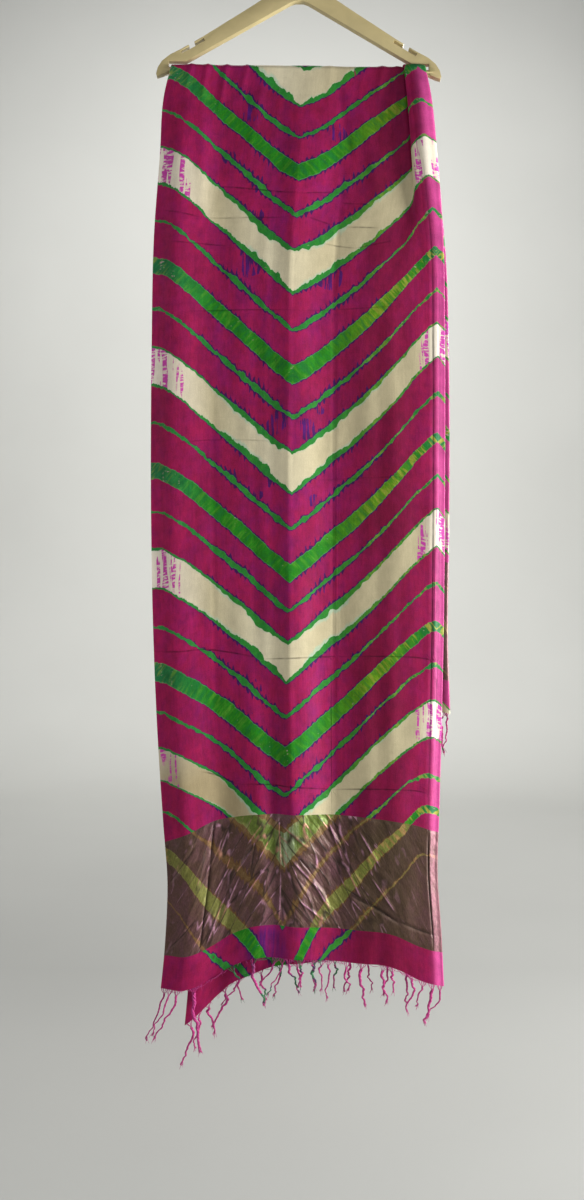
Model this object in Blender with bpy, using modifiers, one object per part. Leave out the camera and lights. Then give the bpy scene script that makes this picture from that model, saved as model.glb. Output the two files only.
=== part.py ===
"""Leheriya dupatta folded lengthwise and hung over the bar of a plastic hanger.

The frame's origin is the point inside the hook's top that bears on a rail. +Z is up,
+X is to the right of someone who faces the front drape, and that person stands at -Y.

The cloth is one sheet. Across its width it has an outer layer from the left selvedge to
the fold on the right, the turn of the fold, and an inner layer back to the left. Along
its length it drops from the bar on two sides, front and back. `Drape.points` gives the
place of any spot of the sheet, and every piece of cloth is made from it.
"""
import math

import bmesh
import bpy
import numpy as np
from mathutils import Matrix, Vector

# ---------------------------------------------------------------- driving sizes, metres

GAP = 0.0003                 # between pieces that touch

# hanger
HANGER_TILT = math.radians(0.7)      # it hangs with its right arm a little low
PLATE_DEPTH = 0.010
BAR_RADIUS = 0.0055
BAR_DROP = 0.2300                    # bar's axis below the hook's bearing point
BAR_REACH = 0.2020                   # half the bar's length
HOOK_BORE = 0.020                    # inner radius of the hook
HOOK_WIRE = 0.0042                   # radius of the hook's round section
HOOK_SWEEP = (-62, 218, 16)          # degrees round the bore, start and end, and facets
NECK_FOOT = 0.070                    # where the round hook ends inside the neck
NECK_HEAD = 0.058                    # where it leaves the neck's axis
EDGE_BEVEL = 0.0010
ARM_SLOPE = math.radians(29.9)
NOTCH_REACH = 0.160                  # from the middle to a strap notch
NOTCH_DROP = 0.1942
NOTCH_SLOT = (0.040, 0.0045)         # length and height of the undercut
NOTCH_MOUTH = (0.010, 0.020)         # width and height of the opening above it

# cloth
WALL = 0.0012
WIDTH = 0.870                        # selvedge to selvedge
OUTER_WIDTH = 0.447                  # left selvedge to the fold
TURN_WIDTH = 0.008                   # cloth in the turn of the fold
INNER_WIDTH = WIDTH - OUTER_WIDTH - TURN_WIDTH
INNER_EASE = 0.015                   # slack of the inner layer
INNER_SET_BACK = 0.011               # inner selvedge behind the outer one, doubled at the hem
PLEAT = (0.372, 0.424)               # stretch of the outer layer folded into the pleat
PLEAT_SWING = 0.16                   # sideways swing of the pleat for each metre it hides
PLEAT_BULGE = 0.25                   # roundness of the roll beside it, as a share of its rise
INNER_RADIUS = BAR_RADIUS + GAP + WALL / 2
TURN_OVER_BAR = INNER_RADIUS * math.pi / 2
LAYER_GAP_BAR = WALL + 0.0007
LAYER_GAP_HANGING = 0.0042
LAYER_GAP_REACH = 0.15               # drop in which the layers part from one gap to the other

BORDER_LENGTH = 0.168
END_LENGTH = 0.044
FRINGE_STRIP = 0.005
FRINGE_ROOT = 0.0035                 # the tassels start this far down the strip
FRINGE_LENGTH = 0.060                # usual length of a tassel
STRAND_RADIUS = 0.0016
STRAND_STEP = 0.026
STRAND_MARGIN = 0.005
STRAND_LEAN = 0.002                  # tassels of the two layers lean apart
STRAND_STAGGER = 0.0025              # and every other one a little more
STRAND_FACETS = 5
TURN_STEPS = 4                       # facets round the fold

OUTER_STEP = 0.030                   # widest facet across the outer layer
INNER_STEP = 0.040
PLEAT_FACETS = 7
BAR_FACETS = 4                       # on each side of the cloth's turn over the bar
FINE_STEP = 0.036                    # tallest facets near the bar, below it, and in the border
COARSE_STEP = 0.092
BORDER_STEP = 0.042
END_STEP = 0.022
FINE_REACH = 0.30                    # drop where the fine facets end
HEAD_MARGIN = 0.004                  # cloth over the bar reaches this far below its turn

# The side edges of each drape: drop below the bar, left edge, right edge.
FRONT_EDGES = (
    (0.000, -0.1931, 0.1865),
    (0.050, -0.2050, 0.1955),
    (0.140, -0.2111, 0.2045),
    (0.260, -0.2200, 0.2140),
    (0.420, -0.2235, 0.2165),
    (0.620, -0.2246, 0.2165),
    (0.800, -0.2216, 0.2150),
    (0.950, -0.2156, 0.2120),
    (1.100, -0.2060, 0.2080),
    (1.190, -0.1995, 0.2055),
    (1.270, -0.2025, 0.2110),
    (1.380, -0.2130, 0.2160),
)
BACK_EDGES = (
    (0.000, -0.1931, 0.1865),
    (0.050, -0.2040, 0.1975),
    (0.140, -0.2100, 0.2080),
    (0.260, -0.2170, 0.2200),
    (0.450, -0.2200, 0.2260),
    (0.700, -0.2190, 0.2255),
    (0.820, -0.2160, 0.2240),
    (0.980, -0.2140, 0.2290),
)

# How far each fold stands off the drape, in mm, at six drops below the bar. A row is a
# fold, placed by its distance from the left selvedge in the cloth.
FOLD_DROPS = (0.00, 0.15, 0.45, 0.88, 1.16, 1.38)
FRONT_FOLDS = (
    # place,   mm off the drape at each drop
    (0.000, (0.0, 2.0, 2.0, 3.0, 3.0, 6.0)),       # selvedge, turned back
    (0.036, (0.6, 8.0, 8.0, 8.0, 12.0, 12.0)),     # ridge by the selvedge
    (0.094, (0.0, 1.0, 2.0, 4.0, 1.0, 5.0)),       # left valley
    (0.153, (0.5, 4.0, 5.0, 7.0, 11.0, 8.0)),      # low ridge
    (0.178, (0.4, 5.0, 7.0, 9.0, 6.0, 7.0)),       # shoulder
    (0.209, (0.7, 8.0, 11.0, 14.0, 15.0, 10.0)),   # ridge on the middle crease
    (0.278, (0.0, 1.0, 0.0, 0.0, 0.0, 2.0)),       # valley crease
    (0.340, (0.5, 3.0, 5.0, 6.0, 9.0, 7.0)),       # right swell
    (0.372, (0.4, 2.5, 7.0, 9.0, 11.0, 10.0)),     # foot of the pleat
    (0.432, (0.6, 3.0, 7.0, 9.0, 9.0, 10.0)),      # crease beside the fold
    (0.447, (0.4, 2.0, 2.0, 2.0, 2.0, 5.0)),       # fold
)
BACK_FOLDS = (
    (0.000, (0.0, 3.0, 3.0, 4.0, 5.0, 6.0)),
    (0.050, (0.6, 7.0, 8.0, 9.0, 9.0, 9.0)),
    (0.120, (0.0, 1.0, 1.0, 3.0, 3.0, 3.0)),
    (0.210, (0.7, 7.0, 9.0, 12.0, 10.0, 10.0)),
    (0.285, (0.0, 1.0, 0.0, 1.0, 1.0, 1.0)),
    (0.372, (0.4, 5.0, 7.0, 8.0, 9.0, 9.0)),
    (0.425, (0.5, 5.0, 6.0, 6.0, 6.0, 6.0)),
    (0.447, (0.4, 2.0, 2.0, 2.0, 2.0, 2.0)),
)

# The weft bows: place from the left selvedge, droop at the border's head, droop at the hem.
WEFT_BOW = (
    (0.000, 0.045, 0.046),
    (0.036, 0.032, 0.047),
    (0.082, 0.012, 0.030),
    (0.106, 0.007, 0.015),
    (0.136, 0.002, 0.002),
    (0.222, 0.000, 0.000),
    (0.300, 0.002, 0.005),
    (0.370, 0.008, 0.011),
    (0.410, 0.014, 0.028),
    (0.447, 0.025, 0.038),
)
# The inner layer hangs lower at its selvedge: place from the fold, extra droop at the hem.
INNER_DROOP = (
    (0.000, 0.000),
    (0.100, -0.004),
    (0.200, 0.003),
    (0.240, 0.008),
    (0.280, 0.017),
    (0.310, 0.024),
    (0.345, 0.025),
    (0.365, 0.029),
    (0.385, 0.037),
    (0.415, 0.053),
)
# How far the pleat by the fold stands forward, and its share of the slack, by drop.
PLEAT_RISE = (
    (0.00, 0.0030, 0.80),
    (0.05, 0.0110, 0.95),
    (0.12, 0.0120, 1.00),
    (0.19, 0.0080, 1.00),
    (0.27, 0.0020, 0.60),
    (0.34, 0.0000, 0.00),
    (0.40, 0.0000, 0.00),
)


# ---------------------------------------------------------------- curves through tables

def curve_through(keys, values, at):
    """Smooth curve through (key, value) pairs, read at the array `at`."""
    keys = np.asarray(keys, float)
    values = np.asarray(values, float)
    slopes = np.gradient(values, keys)
    at = np.clip(at, keys[0], keys[-1])
    cell = np.clip(np.searchsorted(keys, at) - 1, 0, len(keys) - 2)
    step = keys[cell + 1] - keys[cell]
    t = (at - keys[cell]) / step
    rise = t * t * (3 - 2 * t)
    return (values[cell] * (1 - rise) + values[cell + 1] * rise
            + step * slopes[cell] * t * (1 - t) ** 2
            - step * slopes[cell + 1] * t * t * (1 - t))


def column(table, index):
    return [row[index] for row in table]


def smooth_step(value):
    value = np.clip(value, 0.0, 1.0)
    return value * value * (3 - 2 * value)


# ---------------------------------------------------------------- the sheet

class Drape:
    """One side of the hung cloth: sign -1 in front of the bar, +1 behind it."""

    def __init__(self, sign, edges, folds, length):
        self.sign = sign
        self.edges = edges
        self.folds = folds
        self.length = length

    def left(self, drop):
        return curve_through(column(self.edges, 0), column(self.edges, 1), drop)

    def right(self, drop):
        return curve_through(column(self.edges, 0), column(self.edges, 2), drop)

    def relief(self, place, drop):
        """Distance that the folds stand off the drape, for arrays of equal shape."""
        places = column(self.folds, 0)
        rows = [curve_through(FOLD_DROPS, row[1], drop) for row in self.folds]
        total = np.zeros_like(place)
        cell = np.clip(np.searchsorted(places, place) - 1, 0, len(places) - 2)
        for index in range(len(places) - 1):
            here = cell == index
            t = (place - places[index]) / (places[index + 1] - places[index])
            blend = smooth_step(t)
            total = np.where(here, rows[index] * (1 - blend) + rows[index + 1] * blend, total)
        return 0.001 * total

    def pleat(self, drop):
        rise = curve_through(column(PLEAT_RISE, 0), column(PLEAT_RISE, 1), drop)
        share = np.clip(curve_through(column(PLEAT_RISE, 0), column(PLEAT_RISE, 2), drop), 0.0, 1.0)
        visible = self.right(drop) - self.left(drop)
        slack = np.maximum(OUTER_WIDTH - visible, 0.0)
        hidden = slack * share
        scale = visible / (OUTER_WIDTH - hidden)
        return np.maximum(rise, 0.0), hidden, scale

    def layer_gap(self, drop):
        return LAYER_GAP_BAR + (LAYER_GAP_HANGING - LAYER_GAP_BAR) * smooth_step(drop / LAYER_GAP_REACH)

    def turn_radius(self, drop):
        rise, _, _ = self.pleat(drop)
        return 0.5 * (rise + self.layer_gap(drop))

    def outer(self, place, drop):
        """x and stand-off of the outer layer."""
        rise, hidden, scale = self.pleat(drop)
        left, right = self.left(drop), self.right(drop) - self.turn_radius(drop)
        before, after = PLEAT
        x_before = left + scale * before
        x_after = right - scale * (OUTER_WIDTH - after)
        t = np.clip((place - before) / (after - before), 0.0, 1.0)
        swing = PLEAT_SWING * hidden * np.sin(2 * math.pi * t)
        folded = x_before + (x_after - x_before) * t + swing
        x = np.where(place < before, left + scale * place, folded)
        x = np.where(place > after, right - scale * (OUTER_WIDTH - place), x)
        across = np.clip((place - after) / (OUTER_WIDTH - after), 0.0, 1.0)
        lift = rise * (smooth_step(t) + PLEAT_BULGE * np.sin(math.pi * across))
        off = self.relief(place, drop) + self.layer_gap(drop) + lift
        return x, off

    def turn(self, angle, drop):
        """x and stand-off round the fold, angle 0 on the outer layer to pi on the inner."""
        radius = self.turn_radius(drop)
        end = self.relief(np.full_like(drop, OUTER_WIDTH), drop)
        x = self.right(drop) - radius + radius * np.sin(angle)
        return x, end + radius + radius * np.cos(angle)

    def inner(self, place, drop):
        """x and stand-off of the inner layer, place measured from the fold."""
        start = self.right(drop) - self.turn_radius(drop)
        set_back = INNER_SET_BACK * (1 + smooth_step(drop / self.length))
        scale = (start - self.left(drop) - set_back) / (INNER_WIDTH + INNER_EASE)
        x = start - scale * place
        return x, self.relief(np.clip(OUTER_WIDTH - place, 0, OUTER_WIDTH), drop)

    def droop(self, place, drop, from_fold=None):
        """Weft bow: how much lower a spot hangs than its drop along the cloth."""
        head = curve_through(column(WEFT_BOW, 0), column(WEFT_BOW, 1), place)
        hem = curve_through(column(WEFT_BOW, 0), column(WEFT_BOW, 2), place)
        border = self.length - END_LENGTH - BORDER_LENGTH
        low = smooth_step((drop - border) / (self.length - border))
        bow = (head * (1 - low) + hem * low) * smooth_step(drop / border)
        if from_fold is not None:
            extra = curve_through(column(INNER_DROOP, 0), column(INNER_DROOP, 1), from_fold)
            bow = bow + extra * smooth_step(drop / self.length)
        return bow

    def points(self, kind, value, drop):
        """World points of the sheet. kind is outer, turn or inner, value its measure."""
        if kind == "outer":
            x, off = self.outer(value, drop)
            bow = self.droop(value, drop)
        elif kind == "turn":
            x, off = self.turn(value, drop)
            bow = self.droop(np.full_like(drop, OUTER_WIDTH), drop)
        else:
            x, off = self.inner(value, drop)
            bow = self.droop(OUTER_WIDTH - value, drop, value)
        radius = INNER_RADIUS + off
        angle = np.clip(drop / TURN_OVER_BAR, 0.0, 1.0) * math.pi / 2
        below = np.maximum(drop - TURN_OVER_BAR, 0.0) + bow
        y = self.sign * radius * np.sin(angle)
        z = bar_height(x) + radius * np.cos(angle) - below
        return np.stack((x, y, z), axis=-1)


def bar_height(x):
    """Height of the bar's axis in the tilted hanger."""
    middle = -BAR_DROP * math.sin(HANGER_TILT)
    return -BAR_DROP * math.cos(HANGER_TILT) - (x - middle) * math.tan(HANGER_TILT)


FRONT = Drape(-1, FRONT_EDGES, FRONT_FOLDS, 1.340)
BACK = Drape(+1, BACK_EDGES, BACK_FOLDS, 0.935)


def spread(marks, step, pleat_steps):
    """The marks, with evenly spaced places between them."""
    places = [marks[0]]
    for start, end in zip(marks, marks[1:]):
        in_pleat = min(start, end) >= PLEAT[0] and max(start, end) <= PLEAT[1]
        count = pleat_steps if in_pleat else max(1, round(abs(end - start) / step))
        places += [start + (end - start) * i / count for i in range(1, count + 1)]
    return places


def stations():
    """Columns of the sheet, from the left selvedge round the fold to the inner selvedge."""
    folds = [row[0] for row in FRONT_FOLDS if row[0] < PLEAT[0]]
    columns = [("outer", place) for place in spread(folds + [*PLEAT, OUTER_WIDTH], OUTER_STEP, PLEAT_FACETS)]
    columns += [("turn", math.pi * i / TURN_STEPS) for i in range(1, TURN_STEPS)]
    folds = [OUTER_WIDTH, PLEAT[0]] + folds[:1:-1] + [OUTER_WIDTH - INNER_WIDTH]
    columns += [("inner", OUTER_WIDTH - place) for place in spread(folds, INNER_STEP, 1)]
    return columns


STATIONS = stations()


# ---------------------------------------------------------------- Blender helpers

def start_clean():
    for thing in list(bpy.data.objects):
        bpy.data.objects.remove(thing, do_unlink=True)


def collection(name):
    made = bpy.data.collections.new(name)
    bpy.context.scene.collection.children.link(made)
    return made


def material(name, colour, roughness, metallic=0.0):
    made = bpy.data.materials.new(name)
    made.use_nodes = True
    shader = made.node_tree.nodes["Principled BSDF"]
    shader.inputs["Base Color"].default_value = (*colour, 1.0)
    shader.inputs["Roughness"].default_value = roughness
    shader.inputs["Metallic"].default_value = metallic
    return made


def add_object(name, mesh, group, finish=None):
    made = bpy.data.objects.new(name, mesh)
    group.objects.link(made)
    if finish is not None:
        mesh.materials.append(finish)
    return made


def sheet_mesh(name, rows):
    """Grid whose points are moved onto `rows`, an array of rows by columns by 3."""
    count_rows, count_columns = rows.shape[:2]
    shape = bmesh.new()
    bmesh.ops.create_grid(shape, x_segments=count_columns - 1, y_segments=count_rows - 1, size=0.5)
    for vert in shape.verts:
        column_index = round((vert.co.x + 0.5) * (count_columns - 1))
        row_index = round((vert.co.y + 0.5) * (count_rows - 1))
        vert.co = Vector(rows[row_index, column_index])
    mesh = bpy.data.meshes.new(name)
    shape.to_mesh(mesh)
    shape.free()
    return mesh


def drape_rows(drape, drops, columns):
    rows = []
    for drop in drops:
        points = [drape.points(kind, np.array([value]), np.array([drop]))[0] for kind, value in columns]
        rows.append(points)
    return np.array(rows)


def cloth_piece(name, rows, group, finish):
    piece = add_object(name, sheet_mesh(name, rows), group, finish)
    wall = piece.modifiers.new("wall", "SOLIDIFY")
    wall.thickness = WALL
    wall.offset = 0.0
    wall.use_even_offset = True
    return piece


def evaluated_mesh(thing, name):
    """Mesh of an object with its modifiers, welded, in place of the object itself."""
    depsgraph = bpy.context.evaluated_depsgraph_get()
    mesh = bpy.data.meshes.new_from_object(thing.evaluated_get(depsgraph))
    mesh.transform(thing.matrix_world)
    mesh.name = name
    shape = bmesh.new()
    shape.from_mesh(mesh)
    bmesh.ops.remove_doubles(shape, verts=shape.verts, dist=1e-6)
    bmesh.ops.recalc_face_normals(shape, faces=shape.faces)
    shape.to_mesh(mesh)
    shape.free()
    bpy.data.objects.remove(thing, do_unlink=True)
    return mesh


def tube(name, runs, radius, resolution, group):
    """Curve object of one or more poly runs with filled caps."""
    curve = bpy.data.curves.new(name, "CURVE")
    curve.dimensions = "3D"
    curve.bevel_depth = radius
    curve.bevel_resolution = resolution
    curve.use_fill_caps = True
    for run in runs:
        spline = curve.splines.new("POLY")
        spline.points.add(len(run) - 1)
        for point, place in zip(spline.points, run):
            point.co = (*place, 1.0)
    return add_object(name, curve, group)


def boolean(target, other, operation):
    cut = target.modifiers.new(operation.lower(), "BOOLEAN")
    cut.operation = operation
    cut.solver = "EXACT"
    cut.object = other


# ---------------------------------------------------------------- hanger

# Right half of the flat body, from the neck out along the upper edge, round the tip and
# back along the lower edge: distance from the middle, height below the hook's bearing point.
BODY_OUTLINE = (
    (0.0085, -0.0600), (0.0095, -0.0780), (0.0150, -0.0940), (0.0270, -0.1045),
    (0.0440, -0.1155), (0.0630, -0.1275), (0.0840, -0.1412), (0.1100, -0.1576),
    (0.1450, -0.1800), (0.1780, -0.1992), (0.1950, -0.2080), (0.2060, -0.2170),
    (0.2125, -0.2270), (0.2150, -0.2365), (0.2140, -0.2400), (0.2060, -0.2375),
    (0.1985, -0.2345), (0.1965, -0.2320), (0.1965, -0.2172), (0.1696, -0.2172),
    (0.0135, -0.1275), (0.0060, -0.1248),
)


def hanger_body(group):
    """Flat body between the neck and the tips, as an extruded outline."""
    curve = bpy.data.curves.new("hanger_body", "CURVE")
    curve.dimensions = "2D"
    curve.fill_mode = "BOTH"
    curve.extrude = PLATE_DEPTH / 2
    right = list(BODY_OUTLINE)
    left = [(-x, z) for x, z in reversed(BODY_OUTLINE)]
    spline = curve.splines.new("POLY")
    spline.points.add(len(right) + len(left) - 1)
    for point, (x, z) in zip(spline.points, right + left):
        point.co = (x, z, 0.0, 1.0)
    spline.use_cyclic_u = True
    body = add_object("hanger_body", curve, group)
    body.rotation_euler = (math.pi / 2, 0.0, 0.0)
    bpy.context.view_layer.update()
    return evaluated_mesh(body, "hanger")


def hook_path():
    """Up the neck, out to the right, over the top and down to the open end."""
    radius = HOOK_BORE + HOOK_WIRE
    centre = -HOOK_BORE
    path = [(0.0, 0.0, -NECK_FOOT), (0.0, 0.0, -NECK_HEAD)]
    start, end, count = HOOK_SWEEP
    for i in range(count + 1):
        angle = math.radians(start + (end - start) * i / count)
        path.append((radius * math.cos(angle), 0.0, centre + radius * math.sin(angle)))
    return path


def hanger(group, cutters, finish):
    piece = add_object("hanger", hanger_body(group), group, finish)
    edge = piece.modifiers.new("edge", "BEVEL")
    edge.width = EDGE_BEVEL
    edge.segments = 1
    edge.limit_method = "ANGLE"
    edge.angle_limit = math.radians(60)
    hook = tube("hook_run", [hook_path()], HOOK_WIRE, 2, group)
    bar = tube("bar_run", [[(-BAR_REACH, 0, -BAR_DROP), (BAR_REACH, 0, -BAR_DROP)]], BAR_RADIUS, 2, group)
    bpy.context.view_layer.update()
    for run in (hook, bar):
        name = run.name.replace("run", "joined")
        joined = add_object(name, evaluated_mesh(run, name), cutters)
        joined.hide_render = True
        joined.display_type = "WIRE"
        boolean(piece, joined, "UNION")
    for side in (-1, 1):
        for label, (length, height), lift in (("slot", NOTCH_SLOT, 0.0),
                                              ("mouth", NOTCH_MOUTH, NOTCH_MOUTH[1] / 2)):
            bpy.ops.mesh.primitive_cube_add(size=1.0)
            cutter = bpy.context.object
            cutter.name = f"notch_{label}_{'right' if side > 0 else 'left'}"
            for owner in list(cutter.users_collection):
                owner.objects.unlink(cutter)
            cutters.objects.link(cutter)
            tilt = Matrix.Rotation(side * ARM_SLOPE, 4, "Y")
            place = Matrix.Translation((side * NOTCH_REACH, 0.0, -NOTCH_DROP))
            size = Matrix.Diagonal((length, 3 * PLATE_DEPTH, height, 1.0))
            cutter.matrix_world = place @ tilt @ Matrix.Translation((0, 0, lift)) @ size
            cutter.hide_render = True
            cutter.display_type = "WIRE"
            boolean(piece, cutter, "DIFFERENCE")
    bpy.context.view_layer.update()
    mesh = evaluated_mesh(piece, "hanger")
    mesh.transform(Matrix.Rotation(HANGER_TILT, 4, "Y"))
    return add_object("hanger", mesh, group)


# ---------------------------------------------------------------- fringe

# Tassels of the front hems: place along the hem, length, sideways sway, wave. The outer
# hem's places are from its selvedge, the inner hem's from the fold.
FRONT_OUTER_TASSELS = (
    (0.006, 0.078, -0.024, 0.003),
    (0.016, 0.068, -0.027, 0.002),
    (0.026, 0.074, -0.030, 0.004),
    (0.053, 0.096, 0.008, -0.003),
    (0.111, 0.050, 0.020, 0.003),
    (0.146, 0.070, 0.013, -0.004),
    (0.183, 0.042, -0.024, 0.002),
    (0.193, 0.055, -0.022, 0.002),
    (0.201, 0.042, 0.012, -0.003),
    (0.221, 0.040, 0.000, 0.001),
    (0.243, 0.042, -0.003, -0.002),
    (0.254, 0.046, -0.002, -0.002),
    (0.265, 0.058, -0.003, 0.001),
    (0.296, 0.042, -0.003, -0.004),
    (0.319, 0.064, -0.001, -0.003),
    (0.353, 0.056, -0.001, -0.003),
    (0.361, 0.038, 0.007, 0.001),
    (0.391, 0.056, 0.004, 0.006),
    (0.414, 0.038, -0.009, 0.001),
    (0.430, 0.058, -0.010, 0.002),
    (0.442, 0.050, -0.014, 0.006),
)
FRONT_INNER_TASSELS = (
    (0.060, 0.050, 0.004, 0.002),
    (0.090, 0.052, -0.003, 0.003),
    (0.120, 0.046, 0.005, -0.002),
    (0.150, 0.050, -0.004, 0.002),
    (0.175, 0.044, 0.003, 0.003),
    (0.205, 0.048, -0.004, -0.002),
    (0.235, 0.045, 0.005, 0.002),
    (0.265, 0.050, -0.003, 0.003),
    (0.292, 0.046, 0.006, -0.002),
    (0.327, 0.042, -0.026, 0.003),
    (0.352, 0.060, -0.012, 0.007),
    (0.376, 0.050, 0.006, -0.003),
    (0.392, 0.055, -0.006, 0.002),
    (0.409, 0.066, -0.002, 0.007),
)


def plain_tassels(first, last):
    """Evenly spaced tassels of a back hem, no two alike."""
    count = round((last - first) / STRAND_STEP) + 1
    rows = []
    for i in range(count):
        place = first + (last - first) * i / (count - 1) + 0.004 * math.sin(5.1 * i)
        length = FRINGE_LENGTH * (0.80 + 0.30 * abs(math.sin(1.7 * i + 0.6)))
        rows.append((place, length, 0.007 * math.sin(2.4 * i), 0.003 * math.cos(3.1 * i)))
    return rows


def strand_run(root, length, sway, wave, lean):
    """One hanging tassel: a short root in the strip, then a wavy fall that leans along Y."""
    run = []
    for i in range(STRAND_FACETS + 1):
        t = i / STRAND_FACETS
        x = sway * t + wave * math.sin(math.pi * 1.6 * t)
        y = lean * smooth_step(2 * t)
        run.append((root[0] + x, root[1] + y, root[2] - length * t))
    return run


def fringe(name, drape, kind, group, cutters, finish):
    """Strip of the hem with its tassels fused to it."""
    top = drape.length + GAP
    columns = [item for item in STATIONS if item[0] == kind]
    if kind == "outer":
        columns += [item for item in STATIONS if item[0] == "turn"]
    else:
        columns = columns[1:]
    piece = cloth_piece(name, drape_rows(drape, (top, top + FRINGE_STRIP), columns), group, finish)
    places = [value for label, value in columns if label == kind]
    first, last = places[0] + STRAND_MARGIN, places[-1] - STRAND_MARGIN
    feet = drape_rows(drape, [top + FRINGE_ROOT], [(kind, place) for place in places])[0]
    tassels = plain_tassels(first, last)
    if drape is FRONT:
        tassels = FRONT_OUTER_TASSELS if kind == "outer" else FRONT_INNER_TASSELS
    away = drape.sign * (1 if kind == "outer" else -1)
    runs = []
    for i, (place, length, sway, wave) in enumerate(tassels):
        place = np.clip(place, first, last)
        foot = [np.interp(place, places, feet[:, axis]) for axis in range(3)]
        lean = away * (STRAND_LEAN + STRAND_STAGGER * (i % 2))
        runs.append(strand_run(foot, length, sway, wave, lean))
    strands = tube(name + "_strands", runs, STRAND_RADIUS, 0, group)
    bpy.context.view_layer.update()
    joined = add_object(name + "_strands", evaluated_mesh(strands, name + "_strands"), cutters)
    joined.hide_render = True
    joined.display_type = "WIRE"
    boolean(piece, joined, "UNION")
    return piece


# ---------------------------------------------------------------- the whole

def drops_between(start, end, step):
    count = max(1, round((end - start) / step))
    return [start + (end - start) * i / count for i in range(count + 1)]


def drape_pieces(side, drape, group, finishes, head):
    field_end = drape.length - END_LENGTH - BORDER_LENGTH
    border_end = drape.length - END_LENGTH
    fine = drops_between(head + GAP, FINE_REACH, FINE_STEP)
    coarse = drops_between(FINE_REACH, field_end - GAP, COARSE_STEP)
    pieces = (
        ("field", fine + coarse[1:], finishes["silk"]),
        ("border", drops_between(field_end, border_end - GAP, BORDER_STEP), finishes["zari"]),
        ("end", drops_between(border_end, drape.length, END_STEP), finishes["silk"]),
    )
    for label, drops, finish in pieces:
        cloth_piece(f"{side}_{label}", drape_rows(drape, drops, STATIONS), group, finish)


def main():
    start_clean()
    group = collection("dupatta on hanger")
    cutters = collection("cutters")
    finishes = {
        "silk": material("tie-dyed raw silk", (0.38, 0.02, 0.11), 0.75),
        "zari": material("zari tissue", (0.09, 0.04, 0.03), 0.45, 0.3),
        "fringe": material("silk yarn", (0.45, 0.02, 0.18), 0.8),
        "plastic": material("moulded plastic", (0.45, 0.38, 0.20), 0.5),
    }
    hanger(group, cutters, finishes["plastic"])
    head = TURN_OVER_BAR + HEAD_MARGIN
    over = [BACK.points(kind, np.array([value]), np.array([0.0]))[0] for kind, value in STATIONS]
    back = drape_rows(BACK, [head * i / BAR_FACETS for i in range(BAR_FACETS, 0, -1)], STATIONS)
    front = drape_rows(FRONT, [head * i / BAR_FACETS for i in range(1, BAR_FACETS + 1)], STATIONS)
    rows = np.concatenate((back, np.array([over]), front))
    cloth_piece("cloth_over_bar", rows, group, finishes["silk"])
    for side, drape in (("front", FRONT), ("back", BACK)):
        drape_pieces(side, drape, group, finishes, head)
        for kind in ("outer", "inner"):
            fringe(f"{side}_fringe_{kind}", drape, kind, group, cutters, finishes["fringe"])


main()
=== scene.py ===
"""Looks of a leheriya dupatta that is folded lengthwise and hung over a plastic hanger.

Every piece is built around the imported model, in metres, +Z up. The cloth is one sheet: an
outer layer from the left selvedge to the fold on the right, the turn of the fold, and an
inner layer back to the left. It drops from the hanger's bar in front and behind.
"""
import math
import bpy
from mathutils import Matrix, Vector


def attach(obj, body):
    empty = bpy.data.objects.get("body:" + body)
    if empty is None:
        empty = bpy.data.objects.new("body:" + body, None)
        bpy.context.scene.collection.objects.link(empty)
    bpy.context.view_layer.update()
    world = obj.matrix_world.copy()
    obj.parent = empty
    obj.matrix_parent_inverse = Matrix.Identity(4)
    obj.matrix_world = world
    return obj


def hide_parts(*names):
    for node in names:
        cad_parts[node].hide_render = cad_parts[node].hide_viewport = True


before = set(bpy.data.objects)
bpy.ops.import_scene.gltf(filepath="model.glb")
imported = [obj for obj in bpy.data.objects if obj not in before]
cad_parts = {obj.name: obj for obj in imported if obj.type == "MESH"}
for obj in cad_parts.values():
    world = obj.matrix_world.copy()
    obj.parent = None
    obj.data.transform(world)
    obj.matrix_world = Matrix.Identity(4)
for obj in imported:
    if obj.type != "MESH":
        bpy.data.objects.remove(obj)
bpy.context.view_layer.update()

from types import SimpleNamespace

import bpy
import numpy as np
from bpy.props import FloatProperty, FloatVectorProperty, PointerProperty

bl_info = {
    "name": "Leheriya dupatta on a hanger",
    "version": (1, 0, 0),
    "blender": (4, 5, 0),
    "location": "3D View > Sidebar > Dupatta",
    "description": "Builds the cloth, its border, fringe, hanger and a small studio",
    "category": "Object",
}

BODY = "root"
MM = 0.001

# Kinds of nodes that recur.
MATH, VECTOR, NOISE = "ShaderNodeMath", "ShaderNodeVectorMath", "ShaderNodeTexNoise"
MAP, MIX, RAMP = "ShaderNodeMapRange", "ShaderNodeMix", "ShaderNodeValToRGB"
SPLIT, UV_MAP, BUMP = "ShaderNodeSeparateXYZ", "ShaderNodeUVMap", "ShaderNodeBump"


def in_metres(count, rows):
    """Rows of a table whose first `count` values are written in mm, with those in metres."""
    return tuple((*(value / 1000 for value in row[:count]), *row[count:]) for row in rows)


# ---------------------------------------- cloth sizes, metres

GAP = 0.0003                         # between the bar and the cloth on it
MOULD_EDGE = 0.0007                  # rounding of the hanger's edges
BAR_RADIUS = 0.0055
BAR_DROP = 0.2300                    # bar's axis below the hook's bearing point
HANGER_TILT = math.radians(0.7)
SOLID_WALL = 0.0012                  # wall of the cloth's solids
WIDTH = 0.870                        # selvedge to selvedge
OUTER_WIDTH = 0.447                  # left selvedge to the fold
TURN_WIDTH = 0.008                   # cloth in the turn of the fold
INNER_WIDTH = WIDTH - OUTER_WIDTH - TURN_WIDTH
INNER_EASE = 0.015                   # slack of the inner layer
INNER_SET_BACK = 0.011               # inner selvedge behind the outer one, doubled at the hem
PLEAT = (0.372, 0.424)               # stretch of the outer layer folded into the pleat
PLEAT_SWING = 0.16                   # sideways swing of the pleat for each metre it hides
PLEAT_BULGE = 0.25                   # roundness of the roll beside it, as a share of its rise
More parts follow.
